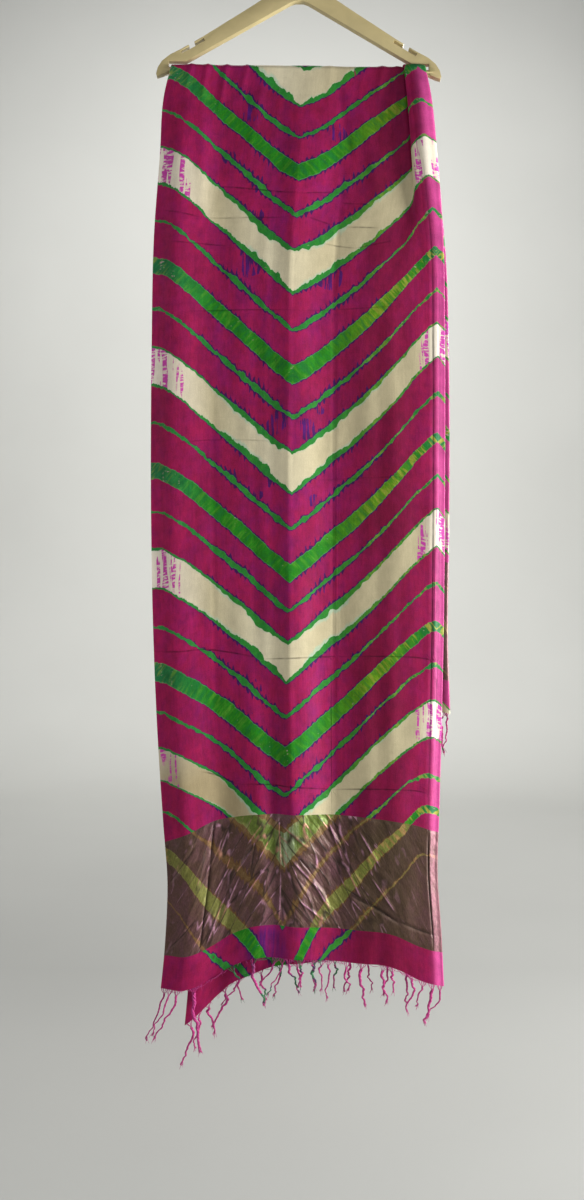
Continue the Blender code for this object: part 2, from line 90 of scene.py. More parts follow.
INNER_RADIUS = BAR_RADIUS + GAP + SOLID_WALL / 2
TURN_OVER_BAR = INNER_RADIUS * math.pi / 2
LAYER_GAP_BAR = SOLID_WALL + 0.0007
LAYER_GAP_HANGING = 0.0042
LAYER_GAP_REACH = 0.15               # drop in which the layers part from one gap to the other
HEAD = TURN_OVER_BAR + 0.004         # cloth over the bar ends at this drop
BORDER_LENGTH = 0.168
END_LENGTH = 0.044
FRINGE_STRIP = 0.005
FRINGE_LENGTH = 0.060
HEM_THREAD = 0.0008                  # the hem's last thread above the strip's end
BAR_CELL = 0.0009                    # mesh cell along the turn over the bar
BACK_COARSER = 1.35                  # mesh cells of the back drape, against the front's
TURN_STEPS = 8                       # mesh cells round the fold
SMOOTH_CLOTH = math.radians(50)      # edges flatter than this are shaded smooth
SMOOTH_PLASTIC = math.radians(40)

# The side edges of each drape: drop below the bar, left edge, right edge.
FRONT_EDGES = (
    (0.000, -0.1931, 0.1865), (0.050, -0.2050, 0.1955), (0.140, -0.2111, 0.2045),
    (0.260, -0.2200, 0.2140), (0.420, -0.2235, 0.2165), (0.620, -0.2246, 0.2165),
    (0.800, -0.2216, 0.2150), (0.950, -0.2156, 0.2120), (1.100, -0.2060, 0.2080),
    (1.190, -0.1995, 0.2055), (1.270, -0.2025, 0.2110), (1.380, -0.2130, 0.2160),
)
BACK_EDGES = (
    (0.000, -0.1931, 0.1865), (0.050, -0.2040, 0.1975), (0.140, -0.2100, 0.2080),
    (0.260, -0.2170, 0.2200), (0.450, -0.2200, 0.2260), (0.700, -0.2190, 0.2255),
    (0.820, -0.2160, 0.2240), (0.980, -0.2140, 0.2290),
)

# How far each fold stands off the drape, in mm, at six drops below the bar. A row is a
# fold, placed by its distance from the left selvedge in the cloth.
FOLD_DROPS = (0.00, 0.15, 0.45, 0.88, 1.16, 1.38)
FRONT_FOLDS = (
    (0.000, (0, 2, 2, 3, 3, 6)),       # selvedge, turned back
    (0.036, (0.6, 8, 8, 8, 12, 12)),     # ridge by the selvedge
    (0.094, (0, 1, 2, 4, 1, 5)),       # left valley
    (0.153, (0.5, 4, 5, 7, 11, 8)),      # low ridge
    (0.178, (0.4, 5, 7, 9, 6, 7)),       # shoulder
    (0.209, (0.7, 8, 11, 14, 15, 10)),   # ridge on the middle crease
    (0.278, (0, 1, 0, 0, 0, 2)),       # valley crease
    (0.340, (0.5, 3, 5, 6, 9, 7)),       # right swell
    (0.372, (0.4, 2.5, 7, 9, 11, 10)),     # foot of the pleat
    (0.432, (0.6, 3, 7, 9, 9, 10)),      # crease beside the fold
    (0.447, (0.4, 2, 2, 2, 2, 5)),       # fold
)
BACK_FOLDS = (
    (0.000, (0, 3, 3, 4, 5, 6)), (0.050, (0.6, 7, 8, 9, 9, 9)),
    (0.120, (0, 1, 1, 3, 3, 3)), (0.210, (0.7, 7, 9, 12, 10, 10)),
    (0.285, (0, 1, 0, 1, 1, 1)), (0.372, (0.4, 5, 7, 8, 9, 9)),
    (0.425, (0.5, 5, 6, 6, 6, 6)), (0.447, (0.4, 2, 2, 2, 2, 2)),
)
# The weft bows: place from the left selvedge, droop at the border's head and at the hem, in mm.
WEFT_BOW = in_metres(3, (
    (0, 45, 46), (36, 32, 47), (82, 12, 30), (106, 7, 15), (136, 2, 2), (222, 0, 0), (300, 2, 5),
    (370, 8, 11), (410, 14, 28), (447, 25, 38),
))
# The inner layer hangs lower at its selvedge: place from the fold, extra droop, in mm.
INNER_DROOP = in_metres(2, (
    (0, 0), (100, -4), (200, 3), (240, 8), (280, 17), (310, 24), (345, 25), (365, 29), (385, 37),
    (415, 53),
))
# How far the pleat by the fold stands forward, and its share of the slack, by drop.
PLEAT_RISE = (
    (0.00, 0.0030, 0.80), (0.05, 0.0110, 0.95), (0.12, 0.0120, 1.00), (0.19, 0.0080, 1.00),
    (0.27, 0.0020, 0.60), (0.34, 0.0000, 0.00), (0.40, 0.0000, 0.00),
)

# Tassels of the front hems: place along the hem, length, sideways sway and wave, in mm, and
# thickness as a share of the usual. The outer hem's places are from its selvedge, the
# inner's from the fold.
FRONT_OUTER_TASSELS = in_metres(4, (
    (6, 78, -24, 3, 0.8), (16, 68, -27, 2, 0.8), (26, 74, -30, 4, 1.0), (53, 96, 8, -3, 1.6),
    (111, 50, 20, 3, 0.9), (146, 70, 13, -4, 1.4), (183, 42, -24, 2, 0.9), (193, 55, -22, 2, 0.7),
    (201, 42, 12, -3, 1.1), (221, 40, 0, 1, 1.0), (243, 42, -3, -2, 1.2), (254, 46, -2, -2, 0.8),
    (265, 58, -3, 1, 0.8), (296, 42, -3, -4, 1.0), (319, 64, -1, -3, 1.3), (353, 56, -1, -3, 1.1),
    (361, 38, 7, 1, 1.0), (391, 56, 4, 6, 1.0), (414, 38, -9, 1, 0.8), (430, 58, -10, 2, 1.3),
    (442, 50, -14, 6, 0.8),
))
FRONT_INNER_TASSELS = in_metres(4, (
    (60, 50, 4, 2, 1.0), (90, 52, -3, 3, 0.9), (120, 46, 5, -2, 0.8), (150, 50, -4, 2, 1.0),
    (175, 44, 3, 3, 0.9), (205, 48, -4, -2, 0.8), (235, 45, 5, 2, 1.0), (265, 50, -3, 3, 0.9),
    (292, 46, 6, -2, 1.0), (327, 42, -26, 3, 0.8), (352, 60, -12, 7, 1.2), (376, 50, 6, -3, 1.1),
    (392, 55, -6, 2, 0.9), (409, 66, -2, 7, 1.1),
))
STRAND_MARGIN = 0.005
STRAND_STEP = 0.026                  # between tassels of the back hems
STRAND_LEAN = 0.002                  # the tassels lean away from the other layer
STRAND_STAGGER = 0.0025
# Plies of a tassel: where each is wound, its distance from the middle and its radius, as
# shares of the yarn's radius.
PLIES = ((0.0, 0.50, 0.58), (2.5, 0.55, 0.50), (4.3, 0.42, 0.46))

JOINT_DROP = 0.009                   # a tassel's plies start this far below the hem
FEEDS = (-1.0, -0.35, 0.4, 1.0)      # warp threads that feed a tassel, from left to right
LOOSE_TIPS = 3                       # of each tassel
FRONT_LOOSE, BACK_LOOSE = (90, 26), (45, 12)    # ungathered warp ends and slipped wefts of a hem
FEED_RADIUS, TIP_RADIUS = 0.00055, 0.00040
WARP_RADIUS, WEFT_RADIUS = 0.00028, 0.00030

WIDEST_LINE = 2.6                    # creases up to this half width, in mm, show as a thin line of painted shade in troughs and painted highlight on ridges
# Creases of the front drape, in mm: place and drop of each end, height (troughs are
# negative), half width.
FRONT_CREASES = in_metres(4, (
    (88, 187, 215, 200, -0.9, 2.4), (215, 200, 266, 195, -0.7, 2.2), (10, 222, 74, 235, -0.7, 2.4),
    (74, 235, 210, 236, -0.5, 2.2), (24, 269, 114, 277, -0.7, 2.4), (278, 211, 318, 213, -0.6, 2.2),
    (231, 235, 266, 244, -0.8, 2.2), (291, 247, 339, 248, -0.7, 2.4),
    (258, 273, 306, 279, -0.6, 2.2), (306, 279, 361, 267, -0.6, 2.2),
    (43, 372, 226, 375, -0.6, 2.6), (226, 375, 378, 364, -0.5, 2.6), (30, 560, 190, 572, -0.4, 2.6),
    (250, 628, 400, 615, -0.4, 2.6), (2, 850, 166, 897, -0.9, 2.6), (166, 897, 300, 890, -0.8, 2.6),
    (300, 890, 447, 876, -0.9, 2.6), (65, 1048, 122, 1081, -0.9, 2.6),
    (122, 1081, 276, 1091, -1.0, 2.6), (276, 1091, 447, 1073, -0.9, 2.6),
    # puckers where the cloth goes over the bar
    (30, -20, 33, 50, 1.3, 3.5), (55, -20, 60, 60, 1.5, 3.5), (85, -20, 88, 70, 1.6, 4.0),
    (118, -20, 116, 55, 1.2, 4.0), (245, -20, 250, 90, 0.7, 5.0), (330, -20, 322, 60, 1.5, 5.0),
    (352, -20, 348, 80, 1.2, 4.5),
    # slack draws below the bar
    (150, 20, 132, 160, 1.0, 7.0), (262, 30, 288, 150, -1.6, 6.0), (300, 60, 330, 200, 1.2, 8.0),
    (60, 60, 70, 240, 0.9, 8.0),
    # storage creases along the middle, the valley and the fold
    (209, 100, 209, 1130, 0.9, 3.0), (278, 120, 278, 1130, -1.0, 3.0),
    (283, 560, 282, 900, 0.5, 1.2), (273, 900, 272, 1130, -0.7, 1.4),
    (436, 720, 440, 1000, -0.8, 1.2), (430, 150, 430, 1130, -0.9, 1.6),
    (440, 260, 440, 1130, -0.5, 1.4), (96, 500, 92, 1000, -0.7, 3.0),
))
BACK_CREASES = in_metres(4, (
    (30, -20, 33, 50, 1.3, 3.5), (85, -20, 88, 70, 1.6, 4.0), (150, -20, 148, 60, 1.2, 4.0),
    (245, -20, 250, 90, 0.9, 5.0), (330, -20, 322, 60, 1.5, 5.0), (60, 80, 70, 260, 0.9, 8.0),
    (260, 40, 290, 180, -1.6, 6.0), (20, 170, 210, 182, -0.8, 2.6), (210, 182, 420, 170, -0.7, 2.6),
    (30, 352, 210, 360, -0.6, 2.6), (240, 395, 430, 380, -0.6, 2.6), (10, 530, 210, 545, -0.9, 2.6),
    (210, 545, 440, 530, -0.9, 2.6), (40, 665, 260, 680, -0.6, 2.6), (210, 100, 210, 723, 0.9, 3.0),
    (285, 120, 285, 723, -1.0, 3.0), (430, 150, 430, 723, -0.9, 1.6),
))
# Sharp creases of the front border, in the same columns.
BORDER_CREASES = in_metres(4, (
    (80, 1129, 72, 1176, -2.6, 1.8), (72, 1176, 56, 1296, -2.6, 1.8),
    (148, 1160, 137, 1216, -1.4, 1.4), (186, 1128, 187, 1212, 2.2, 2.2),
    (187, 1212, 184, 1296, 2.0, 2.2), (105, 1144, 82, 1185, 1.5, 1.6),
    (140, 1179, 113, 1210, 1.4, 1.6), (169, 1199, 119, 1259, 1.7, 1.6),
    (103, 1198, 77, 1229, 1.6, 1.6), (120, 1215, 88, 1270, 1.5, 1.6),
    (95, 1235, 68, 1290, 1.6, 1.6), (266, 1134, 290, 1195, 1.6, 2.2),
    (290, 1195, 319, 1250, 1.5, 2.2), (274, 1134, 296, 1190, -1.2, 1.8),
    (300, 1245, 379, 1277, -2.2, 2.4), (284, 1232, 371, 1273, -1.6, 2.2),
    (371, 1273, 438, 1273, -1.5, 2.6), (54, 1145, 1, 1191, -1.6, 2.0),
    (49, 1247, 3, 1289, -1.6, 2.0), (191, 1144, 236, 1180, 1.7, 1.6),
    (203, 1192, 251, 1241, 1.7, 1.6), (196, 1170, 238, 1215, -1.3, 1.5),
    (238, 1225, 267, 1270, 1.5, 1.6), (210, 1250, 262, 1290, 1.2, 1.6),
    (318, 1150, 352, 1200, 1.2, 1.8), (335, 1215, 372, 1262, 1.2, 1.8),
    (160, 1140, 132, 1172, 1.0, 1.5), (432, 1128, 434, 1296, -2.0, 1.4),
))

# Facets of the crumpled tissue: lean in degrees from upright, pitch in metres, height in mm,
# and how far the creases wander, as a share of the pitch.
CRUMPLE_MIDDLE = 0.187
CRUMPLES = (
    (29, 0.0310, 1.9, 0.35),
    (41, 0.0170, 1.0, 0.50),
    (-38, 0.0370, 1.3, 0.45),
    (62, 0.0240, 0.9, 0.60),
    (12, 0.0115, 0.5, 0.55),
)
FACETS = ((44, 10), (100, 24))        # large and small ones: facets a metre across and along the fan


# ---------------------------------------- dye pattern, metres

PATTERN_PEAK = 0.437                 # place of the zigzag's upper turn, beside the fold
# The zigzag's lower turn wanders: length along the cloth from the bar, front positive; place.
CENTRE_LINE = (
    (-0.935, 0.217), (-0.400, 0.214), (0.068, 0.2075), (0.351, 0.2145),
    (0.649, 0.2140), (0.931, 0.2035), (1.210, 0.1925), (1.350, 0.1890),
)
# A band climbs away from its lower turn: distance from it, then the climb, in mm, for bands
# whose lower turns are at each length in CLIMB_AT. The turns are deepest by the front hem.
CLIMB_AT = (0.07, 0.35, 0.65, 0.93, 1.08, 1.21, 1.31, 1.41)
SELVEDGE_CLIMB = in_metres(9, (
    (0, 0, 0, 0, 0, 0, 0, 0, 0), (30, 18, 25, 22, 24, 18, 24, 47, 62),
    (75, 55, 66, 62, 64, 57, 68, 93, 123), (125, 94, 110, 108, 108, 100, 114, 143, 182),
    (175, 132, 152, 156, 154, 144, 158, 203, 246), (200, 144, 166, 174, 170, 160, 174, 223, 270),
    (220, 146, 170, 180, 174, 164, 178, 228, 280),
))
FOLD_CLIMB = in_metres(9, (
    (0, 0, 0, 0, 0, 0, 0, 0, 0), (30, 14, 15, 24, 24, 26, 30, 55, 70),
    (60, 36, 37, 51, 52, 50, 54, 98, 130), (100, 67, 66, 86, 86, 88, 94, 140, 171),
    (150, 101, 112, 138, 141, 142, 148, 186, 228), (200, 142, 158, 196, 198, 192, 196, 235, 280),
    (225, 158, 178, 218, 222, 214, 216, 250, 310), (245, 162, 184, 224, 228, 220, 222, 255, 315),
))
# Where the bands cross the centre line: cream band's foot, thin line, wide band's head and
# foot, second thin line, head of the next cream band.
BAND_MARKS = (0.0, 0.17, 0.35, 0.445, 0.60, 0.77)
WIDE_MIDDLE = (BAND_MARKS[2] + BAND_MARKS[3]) / 2
BAND_PLACES = (
    (-0.2170, -0.1685, -0.1170, -0.0900, -0.0460, 0.0080),
    (0.0690, 0.1165, 0.1575, 0.1820, 0.2325, 0.2840),
    (0.3520, 0.4060, 0.4590, 0.4865, 0.5375, 0.5870),
    (0.6510, 0.7030, 0.7555, 0.7815, 0.8255, 0.8700),
    (0.9330, 0.9830, 1.0290, 1.0570, 1.1000, 1.1500),
    (1.2110, 1.2950, 1.3920, 1.4240, 1.4790, 1.5300),
)
PATTERN_END = 1.508                  # plain ground from here to the front hem
BAND_PERIOD = 0.285
BACK_PERIODS = 3                     # further periods behind the bar
CLIMB_ROUNDS = 8                     # rounds that settle which lower turn a spot belongs to
# Thickness of the bands by side: -1 at the selvedge, 0 at the lower turn, 1 at the peak.
WIDE_BAND_TAPER = ((-1.0, 0.85), (-0.5, 1.0), (0.0, 1.0), (0.5, 0.95), (0.8, 0.65), (1.0, 0.45))
CREAM_BAND_TAPER = ((-1.0, 0.90), (-0.6, 0.94), (0.0, 1.0), (0.5, 0.98), (1.0, 0.95))
RAMP_TIMES = 10                      # ramps hold the thin lines and outlines this many times over
# Shares of a period by side: half the thickness of a thin line, the green outline of the
# cream band, the dark seam beside the green, and how far its teeth stand out.
LINE_HALF = (
    (-1.00, 0.0050), (-0.80, 0.0065), (-0.55, 0.0110), (-0.30, 0.0155), (-0.12, 0.0150),
    (-0.03, 0.0085), (0.00, 0.0070), (0.05, 0.0095), (0.15, 0.0135), (0.35, 0.0120),
    (0.60, 0.0070), (0.85, 0.0055), (1.00, 0.0080),
)
LINE_TINT = ((-1.0, 0.75), (0.1, 0.65), (0.45, 0.50), (0.65, 0.35), (1.0, 0.35))
OUTLINE = (
    (-1.00, 0.0140), (-0.85, 0.0110), (-0.60, 0.0150), (-0.42, 0.0290), (-0.25, 0.0480),
    (-0.10, 0.0400), (-0.02, 0.0200), (0.00, 0.0170), (0.06, 0.0240), (0.25, 0.0420),
    (0.45, 0.0310), (0.70, 0.0190), (1.00, 0.0130),
)
SEAM = (
    (-1.0, 0.000), (-0.7, 0.004), (-0.4, 0.009), (0.0, 0.006), (0.4, 0.008), (0.8, 0.004),
    (1.0, 0.000),
)
TEETH = (
    (-1.00, 0.00), (-0.70, 0.10), (-0.50, 0.55), (-0.25, 1.00), (-0.08, 0.50), (0.00, 0.25),
    (0.08, 0.80), (0.30, 1.00), (0.55, 0.60), (0.75, 0.20), (1.00, 0.00),
)
WORN = ((-1.0, 0.35), (-0.90, 0.10), (-0.75, 0.0), (0.40, 0.0), (0.60, 0.45), (0.85, 0.60), (1.0, 0.80))
# How much magenta the bands' ends took up, by share of the way from selvedge to peak.
ENDS = ((0.0, 0.11), (0.05, 0.08), (0.13, 0.0), (0.92, 0.0), (0.965, 0.06), (1.0, 0.08))
ARM_WIDTH = 0.22                     # width of an arm of the zigzag
FLUSH = ((-1.0, 0.0), (0.20, 0.0), (0.40, 0.10), (0.55, 0.60), (0.75, 0.50), (0.92, 0.10), (1.0, 0.0))
CLOUDED = ((-1.0, 0.15), (-0.5, 0.8), (0.0, 1.0), (0.5, 0.7), (1.0, 0.1))
TEETH_PER_METRE = 140
# Where the dark dye ran far into the ground, in mm: place, length along the cloth, reach.
FLAMES = in_metres(3, (
    (137, 76, 20), (264, 105, 18), (105, 144, 14), (155, 232, 12), (148, 305, 26), (272, 325, 24),
    (257, 522, 10), (193, 545, 22), (238, 552, 20), (181, 632, 11), (248, 658, 13), (164, 650, 9),
    (262, -200, 22), (150, -430, 20), (270, -470, 18),
))
HEM_POOL = (0.165, 1.332, 0.0)       # place and length of the dye pooled by the hem
FOLD_PLACE = 0.449                   # centre of the painted highlight along the fold
# Uneven fields of the dye: turns a metre across the cloth and along it, detail.
DYE_NOISES = {
    "sway": (30, 18, 1.0), "scallop": (130, 75, 2.0), "fine": (430, 150, 2.0),
    "swell": (66, 36, 1.0), "patch": (13, 9, 1.0), "pillar": (300, 22, 2.0),
    "cloud": (26, 12, 4.0), "streak": (200, 14, 3.0), "flame": (120, 12, 2.0),
    "hatch": (110, 330, 2.0), "slow": (9, 7, 1.0), "mottle": (85, 60, 4.0),
}


# ---------------------------------------- studio, metres and degrees

# The floor runs back to FLOOR_END, then curves up into the wall.
FLOOR_LENGTH = 5.4
FLOOR_END = 3.0
FLOOR_HALF_WIDTH = 2.4
COVE_RADIUS = 1.4
WALL_HEIGHT = 6.0
# Each light: its setting's name, place, target, size, spread.
LIGHTS = (
    ("key", (2.6, -0.55, -1.0), (0.0, 0.0, -0.90), 0.9, 180),
    ("fill", (-2.5, -1.0, -0.3), (0.0, 0.0, -0.95), 1.2, 180),
    ("front", (0.8, -3.4, 0.2), (0.0, 0.0, -0.95), 1.8, 180),
    ("backdrop", (0.0, 1.6, 1.9), (0.0, 3.6, -1.6), 2.4, 180),
    ("rear", (1.6, 2.2, -0.1), (0.0, 0.0, -0.8), 1.6, 50),   # narrow, to keep it off the floor
)
CAMERA_PLACE = (-0.013, -1.587, -1.0275)
CAMERA_LENS = 31.5                   # mm, on a 36 mm sensor


# ---------------------------------------- curves through tables

def curve_through(keys, values, at):
    """Smooth curve through (key, value) pairs, read at the array `at`."""
    keys = np.asarray(keys, float)
    values = np.asarray(values, float)
    slopes = np.gradient(values, keys)
    at = np.clip(at, keys[0], keys[-1])
    cell = np.clip(np.searchsorted(keys, at) - 1, 0, len(keys) - 2)
    step = keys[cell + 1] - keys[cell]
    t = (at - keys[cell]) / step
    rise = t * t * (3 - 2 * t)
    return (values[cell] * (1 - rise) + values[cell + 1] * rise
            + step * slopes[cell] * t * (1 - t) ** 2
            - step * slopes[cell + 1] * t * t * (1 - t))


def column(table, index):
    """One column of a table."""
    return [row[index] for row in table]


def read_table(table, at, index=1):
    """Smooth curve through a table's first column and another, read at `at`."""
    return curve_through(column(table, 0), column(table, index), at)


def smooth_step(value):
    """Eased rise from 0 to 1 as the value goes from 0 to 1."""
    value = np.clip(value, 0.0, 1.0)
    return value * value * (3 - 2 * value)


# ---------------------------------------- the sheet

def beside_run(ends, place, drop):
    """Share of a crease's run that a spot is beside, its distance across, and past the ends."""
    place_a, drop_a, place_b, drop_b = ends
    run = np.array((place_b - place_a, drop_b - drop_a))
    length = float(np.hypot(*run))
    along = ((place - place_a) * run[0] + (drop - drop_a) * run[1]) / length
    across = ((place - place_a) * run[1] - (drop - drop_a) * run[0]) / length
    beyond = np.maximum(np.maximum(-along, along - length), 0.0)
    return along / length, across, beyond


def crease_relief(creases, place, drop):
    """Height of soft troughs and ridges along straight runs, in metres."""
    total = np.zeros_like(place)
    for *ends, height, half in creases:
        share, across, beyond = beside_run(ends, place, drop)
        taper = 1.0 - smooth_step(np.abs(share - 0.5) * 4 - 1.2)
        reach = half * MM
        fall = np.exp(-((across / reach) ** 2 + (beyond / (2 * reach)) ** 2))
        total += height * MM * (0.15 + 0.85 * taper) * fall
    return total


def crumple(place, drop):
    """Height of the tissue's facets, which fan out from the middle crease."""
    away = np.abs(place - CRUMPLE_MIDDLE)
    calm = 1 - 0.75 * smooth_step((away - 0.10) / 0.12)
    height = np.zeros_like(place)
    for lean, pitch, rise, wander in CRUMPLES:
        lean = math.radians(lean)
        across = away * math.cos(lean) - drop * math.sin(lean)
        down = away * math.sin(lean) + drop * math.cos(lean)
        side = np.where(place < CRUMPLE_MIDDLE, 1.7, 4.1)
        wave = across / pitch + wander * np.sin(down / (0.9 * pitch) + side) + side
        cell = np.floor(wave)
        ridge = 1 - np.abs(2 * (wave - cell) - 1)
        share = np.abs(np.sin(cell * 12.9898 + side) * 43758.5453) % 1.0
        fade = 0.5 + 0.5 * np.sin(down / (1.3 * pitch) + 9.0 * share)
        height += rise * MM * ridge * (0.35 + 0.65 * share) * (0.3 + 0.7 * fade) * calm
    return height


def crease_lines(creases, place, drop, cell):
    """Distance across the nearest crease, and its strength: ridges positive, troughs negative."""
    nearest = np.full_like(place, 1.0)
    lines, strengths = np.zeros_like(place), np.zeros_like(place)
    for *ends, height, half in creases:
        if half > WIDEST_LINE:
            continue
        share, across, beyond = beside_run(ends, place, drop)
        taper = 1.0 - 0.8 * smooth_step(np.abs(share - 0.5) * 4 - 1.0)
        distance = np.abs(across) + beyond
        strength = np.clip(height / 1.1, -1, 1) * taper * (1 - smooth_step(beyond / cell))
        closer = distance < nearest
        nearest = np.where(closer, distance, nearest)
        lines = np.where(closer, across, lines)
        strengths = np.where(closer, strength, strengths)
    return lines, strengths * (1 - smooth_step((np.abs(lines) - cell) / cell))


class Drape:
    """One side of the hung cloth: sign -1 in front of the bar, +1 behind it."""

    def __init__(self, sign, edges, folds, creases, length):
        self.sign = sign
        self.edges = edges
        self.folds = folds
        self.creases = creases
        self.length = length
        self.border = length - END_LENGTH - BORDER_LENGTH
        self.hem = length - END_LENGTH

    def left(self, drop):
        """x of the drape's left edge."""
        return read_table(self.edges, drop, 1)

    def right(self, drop):
        """x of the drape's right edge."""
        return read_table(self.edges, drop, 2)

    def relief(self, place, drop):
        """Distance that the main folds stand off the drape."""
        places = column(self.folds, 0)
        rows = [curve_through(FOLD_DROPS, row[1], drop) for row in self.folds]
        total = np.zeros_like(place)
        cell = np.clip(np.searchsorted(places, place) - 1, 0, len(places) - 2)
        for index in range(len(places) - 1):
            t = (place - places[index]) / (places[index + 1] - places[index])
            blend = smooth_step(t)
            here = rows[index] * (1 - blend) + rows[index + 1] * blend
            total = np.where(cell == index, here, total)
        return MM * total

    def fine_relief(self, place, drop):
        """Creases, and the slow unevenness of cloth that has been folded away."""
        wave = 0.35 * MM * (np.sin(61 * place + 4.3 * np.sin(5.1 * drop)) * np.sin(17 * drop + 2.0)
                            + np.sin(143 * place + 9 * drop) * np.sin(23 * drop + 1.3))
        total = crease_relief(self.creases, place, drop) + wave * smooth_step(drop / 0.05)
        in_border = smooth_step((drop - self.border) / 0.006) * smooth_step((self.hem - drop) / 0.006)
        return total + in_border * crumple(place, drop - self.border)

    def pleat(self, drop):
        """The pleat's rise, the cloth hidden in it, and the scale of the rest."""
        rise = read_table(PLEAT_RISE, drop, 1)
        share = np.clip(read_table(PLEAT_RISE, drop, 2), 0.0, 1.0)
        visible = self.right(drop) - self.left(drop)
        hidden = np.maximum(OUTER_WIDTH - visible, 0.0) * share
        return np.maximum(rise, 0.0), hidden, visible / (OUTER_WIDTH - hidden)

    def layer_gap(self, drop):
        """Distance between the layers, which grows below the bar."""
        spread = smooth_step(drop / LAYER_GAP_REACH)
        return LAYER_GAP_BAR + (LAYER_GAP_HANGING - LAYER_GAP_BAR) * spread

    def turn_radius(self, drop):
        """Radius of the turn that joins the layers at the fold."""
        return 0.5 * (self.pleat(drop)[0] + self.layer_gap(drop))

    def outer(self, place, drop):
        """x and stand-off of the outer layer."""
        rise, hidden, scale = self.pleat(drop)
        left, right = self.left(drop), self.right(drop) - self.turn_radius(drop)
        before, after = PLEAT
        x_before = left + scale * before
        x_after = right - scale * (OUTER_WIDTH - after)
        t = np.clip((place - before) / (after - before), 0.0, 1.0)
        swing = PLEAT_SWING * hidden * np.sin(2 * math.pi * t)
        folded = x_before + (x_after - x_before) * t + swing
        x = np.where(place < before, left + scale * place, folded)
        x = np.where(place > after, right - scale * (OUTER_WIDTH - place), x)
        across = np.clip((place - after) / (OUTER_WIDTH - after), 0.0, 1.0)
        lift = rise * (smooth_step(t) + PLEAT_BULGE * np.sin(math.pi * across))
        off = self.relief(place, drop) + self.fine_relief(place, drop) + self.layer_gap(drop) + lift
        return x, off

    def turn(self, angle, drop):
        """x and stand-off round the fold, angle 0 on the outer layer to pi on the inner."""
        radius = self.turn_radius(drop)
        edge = np.full_like(drop, OUTER_WIDTH)
        end = self.relief(edge, drop) + self.fine_relief(edge, drop)
        x = self.right(drop) - radius + radius * np.sin(angle)
        return x, end + radius + radius * np.cos(angle)

    def inner(self, place, drop):
        """x and stand-off of the inner layer, place measured from the fold."""
        start = self.right(drop) - self.turn_radius(drop)
        set_back = INNER_SET_BACK * (1 + smooth_step(drop / self.length))
        scale = (start - self.left(drop) - set_back) / (INNER_WIDTH + INNER_EASE)
        beside = np.clip(OUTER_WIDTH - place, 0, OUTER_WIDTH)
        return start - scale * place, self.relief(beside, drop) + self.fine_relief(beside, drop)

    def droop(self, place, drop, from_fold=None):
        """Weft bow: how much lower a spot hangs than its drop along the cloth."""
        head = read_table(WEFT_BOW, place, 1)
        hem = read_table(WEFT_BOW, place, 2)
        low = smooth_step((drop - self.border) / (self.length - self.border))
        bow = (head * (1 - low) + hem * low) * smooth_step(drop / self.border)
        if from_fold is not None:
            bow = bow + read_table(INNER_DROOP, from_fold) * smooth_step(drop / self.length)
        return bow

    def points(self, kind, value, drop):
        """World points of the sheet. kind is outer, turn or inner, value its measure."""
        if kind == "outer":
            x, off = self.outer(value, drop)
            bow = self.droop(value, drop)
        elif kind == "turn":
            x, off = self.turn(value, drop)
            bow = self.droop(np.full_like(drop, OUTER_WIDTH), drop)
        else:
            x, off = self.inner(value, drop)
            bow = self.droop(OUTER_WIDTH - value, drop, value)
        radius = INNER_RADIUS + off
        angle = np.clip(drop / TURN_OVER_BAR, 0.0, 1.0) * math.pi / 2
        below = np.maximum(drop - TURN_OVER_BAR, 0.0) + bow
        y = self.sign * radius * np.sin(angle)
        return np.stack((x, y, bar_height(x) + radius * np.cos(angle) - below), axis=-1)


def bar_height(x):
    """Height of the bar's axis in the tilted hanger."""
    middle = -BAR_DROP * math.sin(HANGER_TILT)
    return -BAR_DROP * math.cos(HANGER_TILT) - (x - middle) * math.tan(HANGER_TILT)


def back_border_creases(shift):
    """The back border is crumpled like the front one, mirrored and nearer the bar."""
    return tuple((OUTER_WIDTH - a, b - shift, OUTER_WIDTH - c, d - shift, height, half)
                 for a, b, c, d, height, half in BORDER_CREASES)


FRONT_LENGTH = 1.340
BACK_LENGTH = 0.935
FRONT = Drape(-1, FRONT_EDGES, FRONT_FOLDS, FRONT_CREASES + BORDER_CREASES, FRONT_LENGTH)
BACK = Drape(+1, BACK_EDGES, BACK_FOLDS,
             BACK_CREASES + back_border_creases(FRONT_LENGTH - BACK_LENGTH), BACK_LENGTH)


# ---------------------------------------- dye fields

def climb(offset, turn_at):
    """Rise at an offset from the centre line of a band whose lower turn is at `turn_at`."""
    at = np.clip(turn_at, CLIMB_AT[0], CLIMB_AT[-1])
    total = np.zeros_like(offset)
    for table, distance in ((SELVEDGE_CLIMB, -offset), (FOLD_CLIMB, offset)):
        rows = [read_table(table, distance, i + 1) for i in range(len(CLIMB_AT))]
        for i, (start, end) in enumerate(zip(CLIMB_AT, CLIMB_AT[1:])):
            t = (at - start) / (end - start)
            here = (at >= start) & (at <= end) & (distance >= 0)
            total = np.where(here, rows[i] * (1 - t) + rows[i + 1] * t, total)
    return total


def band_table():
    """Every period of the pattern, from the back hem to the front one."""
    first = BAND_PLACES[0][0]
    rows = [[first - BAND_PERIOD * (back - mark) for mark in BAND_MARKS]
            for back in range(BACK_PERIODS, 0, -1)]
    rows += [list(row) for row in BAND_PLACES]
    rows.append([rows[-1][0] + BAND_PERIOD])
    return rows


